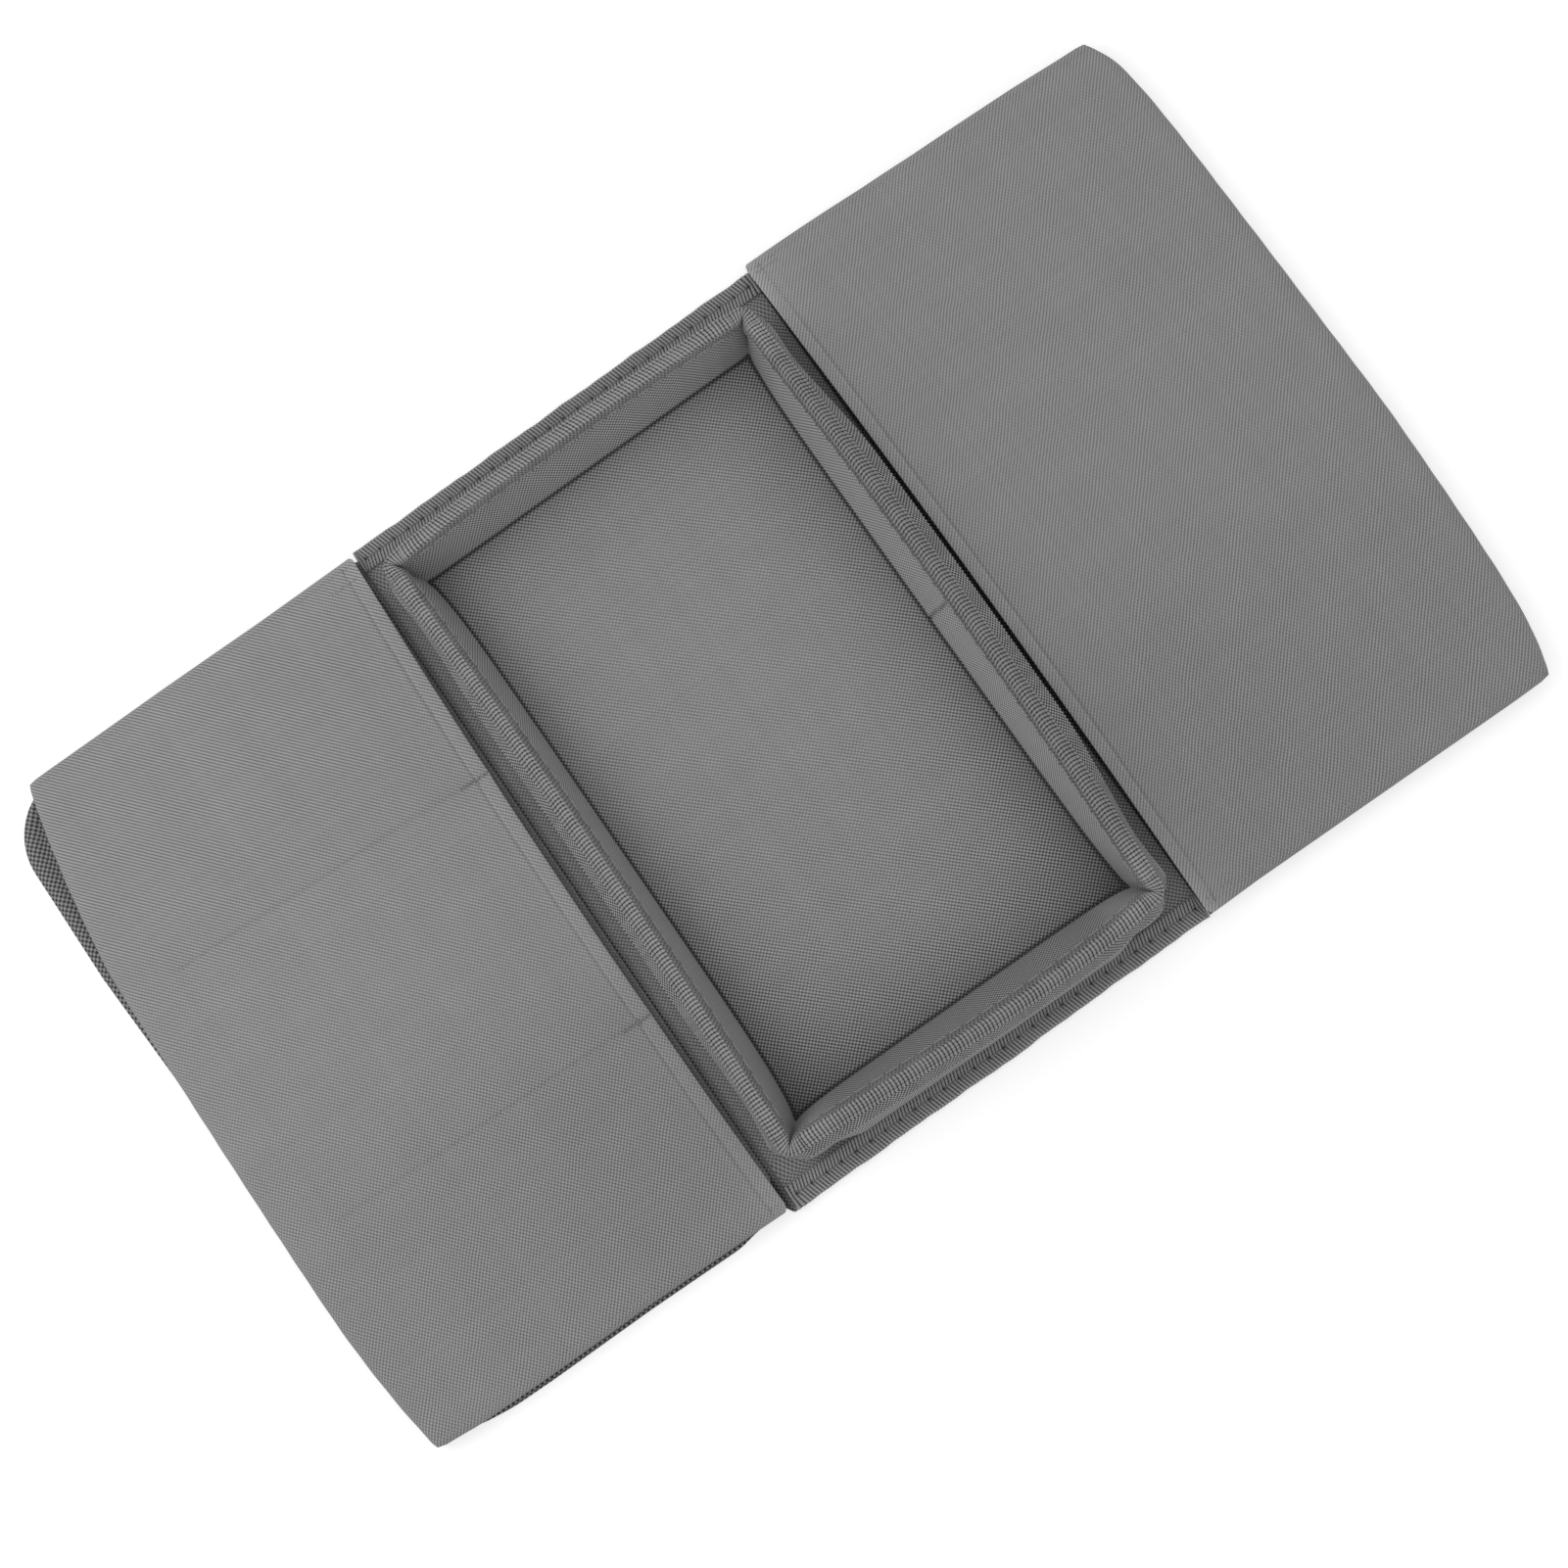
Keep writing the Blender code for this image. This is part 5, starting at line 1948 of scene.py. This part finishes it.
    def near_mouth(self, edge: bmesh.types.BMEdge) -> bool:
        """True for an edge on the mouth's fold, clear of its ends.

        Args:
            edge: The edge.

        Returns:
            Whether it lies there.
        """
        middle = (edge.verts[0].co + edge.verts[1].co) / 2
        inside = self.side * middle.x - self.sizes.fold < self.mouth_start + self.mouth_bow + 0.001
        return abs(middle.y) < self.sizes.flap_seam_y - 0.001 and inside

    def flat_sheet(self, name: str, start: float, end: Callable, half: float, z: float, thickness: float,
                   lift: Optional[Callable] = None, shift: float = 0.0, under: float = 0.0,
                   notch: float = 0.0) -> Piece:
        """Builds a flat sheet of the flap.

        Args:
            name: The piece's name.
            start: Where it begins, outwards from the fold line.
            end: Its end at each y.
            half: Half its length along Y.
            z: Height of its underside.
            thickness: Of the cloth.
            lift: Rise of the cloth at a share of its length and a y, or none for a level sheet.
            shift: How far it lies towards +Y.
            under: How far it is pulled out along its -Y side.
            notch: How much later it begins beside the base's tapes.

        Returns:
            The sheet.
        """
        ys = lines_between(-half, half, 0.0024)
        rows = np.linspace(0, 1, 72)
        y, share = np.meshgrid(ys, rows)
        begin = start + notch * ease(np.abs(y), self.sizes.tape_line - 0.005, self.sizes.tape_line - 0.001)
        x = self.outwards(mix(begin, end(y), share))
        shown = under * ramp(-y, 0.6 * half, half) * ease(share, 0.05, 0.15) * (1 - ease(share, 0.80, 0.97))
        rise = lift(share, y) if lift else 0 * y
        points = np.stack([x, y + shift - shown + self.flare(y, share), z + rise], -1)
        piece = grid_piece(name, points, points[..., :2].copy(), flip=self.side < 0)
        self.face_up(piece)
        return thicken(piece, thickness, 1.0)

    def make_back(self) -> Piece:
        """Builds the cloth that lies on the sofa's arm, with its outer edge turned.

        Returns:
            The cloth.
        """
        s = self.sizes

        def lift(share: Values, y: Values) -> Array:
            """The turned outer edge stands a little."""
            turned = ease(share, 0.955, 0.980) * (1 - 0.7 * ease(share, 0.985, 1.0))
            return 0.0016 * turned * ease(y, 0.0, 0.03) * (self.back_skew > 0)

        half = s.flap_seam_y + self.seam_allowance
        piece = self.flat_sheet(f"{self.name}_flap_underside", s.fold_strip / 2 + s.gap, self.back_end, half,
                                0.0, s.cloth, lift, self.back_shift, self.under_growth)
        fit(piece, self.wardrobe.back, "base_cover_cloth", self.body, f"{self.name}_flap_back")
        return piece

    def make_filling(self) -> None:
        """Builds the felt and the pocket's lining."""
        s = self.sizes
        half = s.flap_seam_y - s.cloth - 2 * s.gap

        def end(y: Values) -> Array:
            """Both stop inside the pocket cloth's seam."""
            return self.seam_end(y) - s.cloth - 2 * s.gap

        for name, z, thickness, finish, slot, node in (
                ("flap_interlining", s.cloth + s.gap, s.interlining, self.wardrobe.felt, "felt", "felt"),
                ("pocket_lining", s.lining_z, s.cloth, self.wardrobe.floor, "floor_cloth", "lining")):
            piece = self.flat_sheet(f"{self.name}_{name}", self.lining_start, end, half, z, thickness,
                                    notch=self.lining_notch)
            fit(piece, finish, slot, self.body, f"{self.name}_flap_{node}")

    def make_fold_strip(self) -> Piece:
        """Builds the bare cloth between the base and the flap, along the fold line.

        Returns:
            The cloth.
        """
        s = self.sizes
        distances = np.array([-0.0060, -0.0050, -0.0040, -0.0030, -0.0020, -0.0014, -0.0008, -0.0002, 0.0004,
                              0.0010, 0.0016, 0.0022, 0.0028, 0.0034, 0.0040, 0.0050])
        full = s.flap_seam_y + self.seam_allowance
        free = ramp(distances, -0.0008, -0.0002)[:, None]
        spread = np.linspace(-1, 1, 121)[None]
        reach = self.side * s.fold
        waist = np.where(spread > 0, self.base.end_bow(reach, 1), -self.base.end_bow(reach, -1))
        y = mix(s.tape_line - s.gap + waist, full, free) * spread
        narrowed = 0.0014 if self.side > 0 else 0.0034
        beside_tape = narrowed * free * (1 - ease(distances, 0.0006, 0.0034))[:, None]
        y = y + self.flare(y, 0 * y) * free - beside_tape * ramp(-spread, 0.90, 1.0)
        x = np.repeat(self.outwards(distances)[:, None], spread.size, 1)
        points = np.stack([x, y, np.zeros_like(x)], -1)
        piece = grid_piece(f"{self.name}_fold_cloth", points, points[..., :2].copy())
        # Painted shade where the fold cloth lies under the pocket's mouth.
        mouth_shadow = ease(distances, self.mouth_start - 0.0008, self.mouth_start + 0.0008)
        paint(piece, SHADE, np.repeat(0.7 * mouth_shadow[:, None], spread.size, 1))
        self.face_up(piece)
        thicken(piece, s.cloth, 1.0)
        dress(piece, self.wardrobe.floor)
        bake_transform(piece)
        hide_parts(f"{self.name}_fold_strip")
        return piece

    def on_top(self, share: Array, y: Array, rise: float = 0.00004) -> Array:
        """Finds places on the pocket cloth's upper face, for thread.

        Args:
            share: Shares of the way from mouth to end.
            y: Places across.
            rise: Height over the cloth.

        Returns:
            The points.
        """
        share, y = np.broadcast_arrays(share, y)
        flat = self.flat_place(share, y)
        return np.concatenate([flat, (self.top_height(share, y) + rise)[..., None]], -1)

    def zigzag(self, share: float, y: float, along_y: float, along_x: float, width: float = 0.0016,
               turns: int = 12) -> Array:
        """A bar tack's path.

        Args:
            share: Place of its middle from mouth to end.
            y: Place of its middle across.
            along_y: How far it runs across.
            along_x: How far it runs outwards.
            width: Of the tack.
            turns: How often the thread crosses it.

        Returns:
            The thread's path on the cloth.
        """
        steps = np.linspace(-0.5, 0.5, turns + 1)
        swing = np.where(np.arange(turns + 1) % 2, 0.5, -0.5) * width
        length = math.hypot(along_y, along_x)
        outward = along_x * steps - swing * along_y / length
        across = along_y * steps + swing * along_x / length
        return self.on_top(share + outward / self.seam_length, y + across, 0.00012)

    def make_stitches(self, tacks: Sequence[tuple]) -> None:
        """Sews the hem, the sides, the dividers and the bar tacks.

        Args:
            tacks: Bar tacks, each of (share, y, length across, length outwards).
        """
        s = self.sizes
        edge = s.flap_seam_y - self.seam_inset
        body, thread = self.body, self.wardrobe.thread
        hem_share = self.hem / self.seam_length
        y = np.linspace(-edge, edge, 200)
        hem = self.on_top(np.full_like(y, hem_share), y)
        self.stitcher.sew(f"{self.name}_hem_stitches", [hem], body, thread, "pocket_cloth")
        share = np.linspace(0.01, 0.985, 120)
        sides = [self.on_top(share, np.full_like(share, sign * edge)) for sign in (-1, 1)]
        self.stitcher.sew(f"{self.name}_side_stitches", sides, body, thread, "pocket_cloth")
        if self.dividers:
            share = np.linspace(0.01, 1 - self.divider_run / self.seam_length, 120)
            runs = [self.on_top(share, np.full_like(share, place), -0.00002) for place in self.dividers]
            self.stitcher.sew(f"{self.name}_divider_stitches", runs, body, thread, "pocket_cloth")
        runs = [self.zigzag(*tack) for tack in tacks]
        self.stitcher.sew(f"{self.name}_bar_tacks", runs, body, thread, "pocket_cloth", pitch=0.0019)

    def build(self, tacks: Sequence[tuple]) -> None:
        """Builds and dresses the whole flap.

        Args:
            tacks: Bar tacks, as for the stitches.
        """
        self.make_back()
        self.make_filling()
        strip = self.make_fold_strip()
        pocket = self.make_pocket()
        fit(pocket, self.finish, "pocket_cloth", self.body, f"{self.name}_pocket_panel")
        self.make_stitches(tacks)
        log.info("flap: %s, %s", pocket.name, strip.name)


@dataclass
class Studio:
    """A pale floor, soft light from the back left, and the camera."""

    sky: float = 0.59
    sky_low: float = 1.0            # how much brighter the sky is low down than overhead
    key_power: float = 1.6
    key_size: float = 0.5
    floor_grey: float = 0.60
    floor_glow: float = 0.55

    def make_floor(self) -> None:
        """Lays a pale floor that keeps the tray's shadow and is white to the camera."""
        bpy.ops.object.select_all(action="DESELECT")
        bpy.ops.mesh.primitive_plane_add(size=8.0, location=(0, 0, -0.0004))
        floor = bpy.context.active_object
        floor.name = "studio_floor"
        bpy.ops.object.transform_apply(location=True, rotation=True, scale=True)
        nodes = NodeBuilder("studio_floor_paint")
        grey = self.floor_grey
        for socket, value in (("Base Color", (grey, grey, grey, 1)), ("Roughness", 0.9),
                              ("Specular IOR Level", 0.0), ("Emission Color", (1, 1, 1, 1))):
            nodes.shader.inputs[socket].default_value = value
        rays = nodes.add("ShaderNodeLightPath").outputs
        mirrored = nodes.math("MAXIMUM", rays["Is Glossy Ray"], rays["Is Transmission Ray"])
        seen = nodes.math("MAXIMUM", rays["Is Camera Ray"], mirrored)
        nodes.link(nodes.math("MULTIPLY", seen, self.floor_glow), nodes.shader.inputs["Emission Strength"])
        floor.data.materials.append(nodes.material)

    def make_sky(self) -> None:
        """Sets an even light all round, white where the camera sees it."""
        world = bpy.data.worlds.new("studio_sky")
        bpy.context.scene.world = world
        world.use_nodes = True
        nodes = NodeTree(world.node_tree)
        light, white = nodes.tree.nodes["Background"], nodes.add("ShaderNodeBackground")
        for lit in (light, white):
            lit.inputs["Color"].default_value = (1, 1, 1, 1)
            lit.inputs["Strength"].default_value = 1.0
        parts = nodes.add("ShaderNodeSeparateXYZ")
        nodes.link(nodes.add("ShaderNodeTexCoord").outputs["Generated"], parts.inputs[0])
        nodes.link(nodes.math("MULTIPLY_ADD", parts.outputs[2], -self.sky * self.sky_low,
                              self.sky * (1 + self.sky_low)), light.inputs["Strength"])
        rays = nodes.add("ShaderNodeLightPath").outputs
        seen = nodes.math("MAXIMUM", rays["Is Camera Ray"], rays["Is Transmission Ray"])
        joined = nodes.add("ShaderNodeMixShader")
        for source, socket in zip((seen, light.outputs[0], white.outputs[0]), joined.inputs):
            nodes.link(source, socket)
        nodes.link(joined.outputs[0], nodes.tree.nodes["World Output"].inputs["Surface"])

    def make_lamp(self, name: str, place: tuple, aim: tuple, size: float, power: float) -> None:
        """Hangs a square soft lamp.

        Args:
            name: Its name.
            place: Where it hangs.
            aim: The point that it looks at.
            size: Length of its sides.
            power: In watts.
        """
        data = bpy.data.lights.new(name, "AREA")
        data.shape = "SQUARE"
        data.size = size
        data.energy = power
        lamp = bpy.data.objects.new(name, data)
        lamp.location = place
        lamp.rotation_euler = (Vector(aim) - Vector(place)).to_track_quat("-Z", "Y").to_euler()
        bpy.context.scene.collection.objects.link(lamp)

    def make_camera(self) -> None:
        """Sets the camera over the tray, turned so that its length runs down to the right."""
        right = Vector((0.817651, -0.566017, -0.105223)).normalized()
        forward = Vector((-0.031209, 0.138923, -0.989811)).normalized()
        up = right.cross(forward).normalized()
        right = forward.cross(up).normalized()
        place = Matrix((right, up, -forward)).transposed().to_4x4()
        place.translation = (0.023213, -0.156045, 0.979814)
        data = bpy.data.cameras.new("photo_camera")
        data.lens = 60.0
        data.sensor_width = 36.0
        camera = bpy.data.objects.new("photo_camera", data)
        camera.matrix_world = place
        bpy.context.scene.collection.objects.link(camera)
        bpy.context.scene.camera = camera

    def build(self) -> None:
        """Sets up the floor, the light and the camera."""
        self.make_floor()
        self.make_sky()
        self.make_lamp("key_lamp", (-0.55, 0.35, 0.70), (0.0, 0.0, 0.0), self.key_size, self.key_power)
        self.make_camera()
        bpy.context.scene.view_settings.view_transform = "Standard"


def main() -> None:
    """Builds the tray's looks and the studio, in order."""
    logging.basicConfig(level=logging.INFO, format="%(message)s")
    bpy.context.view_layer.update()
    bpy.ops.object.select_all(action="DESELECT")
    sizes, wardrobe, stitcher = TraySizes(), Wardrobe(), Stitcher()
    walls = WallRing(sizes)
    base = TrayBase(sizes, wardrobe, stitcher, walls)
    base.build()
    TrayWalls(sizes, wardrobe, walls).build()
    RimBinding(sizes, wardrobe, walls, stitcher).build()
    left = Flap(
        sizes, wardrobe, stitcher, base, wardrobe.left_pocket, name="left", side=-1, seam_length=0.1600,
        end_bow=0.0013, end_roll=0.0070, roll_power=5.0, crown=0.0008, far_corner=Corner(0.43, 0.0082, 1.3),
        near_corner=Corner(0.63, 0.0018, 1.3), mouth_start=0.0008, mouth_bow=0.0024, mouth_flare=0.0,
        back_length=0.1679, back_skew=0.0040, back_shift=-0.0012, back_round=0.0260,
        back_growth=((0.0, 0.0011), (0.3, 0.0010), (0.6, 0.0015), (1.0, 0.0017)),
        front_growth=((0.0, 0.0014), (0.1, 0.0012), (0.4, 0.0008), (0.7, 0.0014), (0.9, 0.0012), (1.0, 0.0)),
        under_growth=0.0020, front_shade=0.14, hem=0.0058, mouth_skew=0.0007,
        dividers=(-0.0610, 0.0510), divider_slants=(0.004, 0.007),
        swells=((0.45, 0.100, 0.040, 0.0006), (0.60, -0.005, 0.045, 0.0007), (0.40, -0.105, 0.038, 0.0005)))
    left.build([(0.055, 0.1405, 0.0, 0.0130), (0.044, 0.0510, 0.0, 0.0124), (0.044, -0.0610, 0.0, 0.0124)])
    right = Flap(
        sizes, wardrobe, stitcher, base, wardrobe.right_pocket, name="right", side=1, seam_length=0.1540,
        end_bow=0.0011, end_roll=0.0080, roll_power=10.0, crown=0.0012, far_corner=Corner(0.90, 0.0022, 2.0),
        near_corner=Corner(0.20, 0.0050, 1.3), mouth_start=-0.0010, mouth_bow=0.0018, mouth_flare=0.0034,
        back_length=0.1575, back_skew=0.0, back_shift=-0.0008, back_round=0.0220,
        back_growth=((0.0, 0.0013), (0.35, 0.0013), (0.5, 0.0021), (0.65, 0.0015), (0.8, 0.0007),
                     (1.0, -0.0013)),
        front_growth=((0.0, 0.0009), (0.15, 0.0004), (0.9, 0.0005), (1.0, 0.0002)),
        mouth_light=0.48, hem=0.0050,
        swells=((0.40, 0.060, 0.060, 0.0008), (0.65, -0.070, 0.055, 0.0007)))
    right.build([(0.045, 0.1440, 0.0, 0.0100), (0.055, -0.1440, 0.0, 0.0120)])
    Studio().build()


if __name__ == "__main__":
    main()
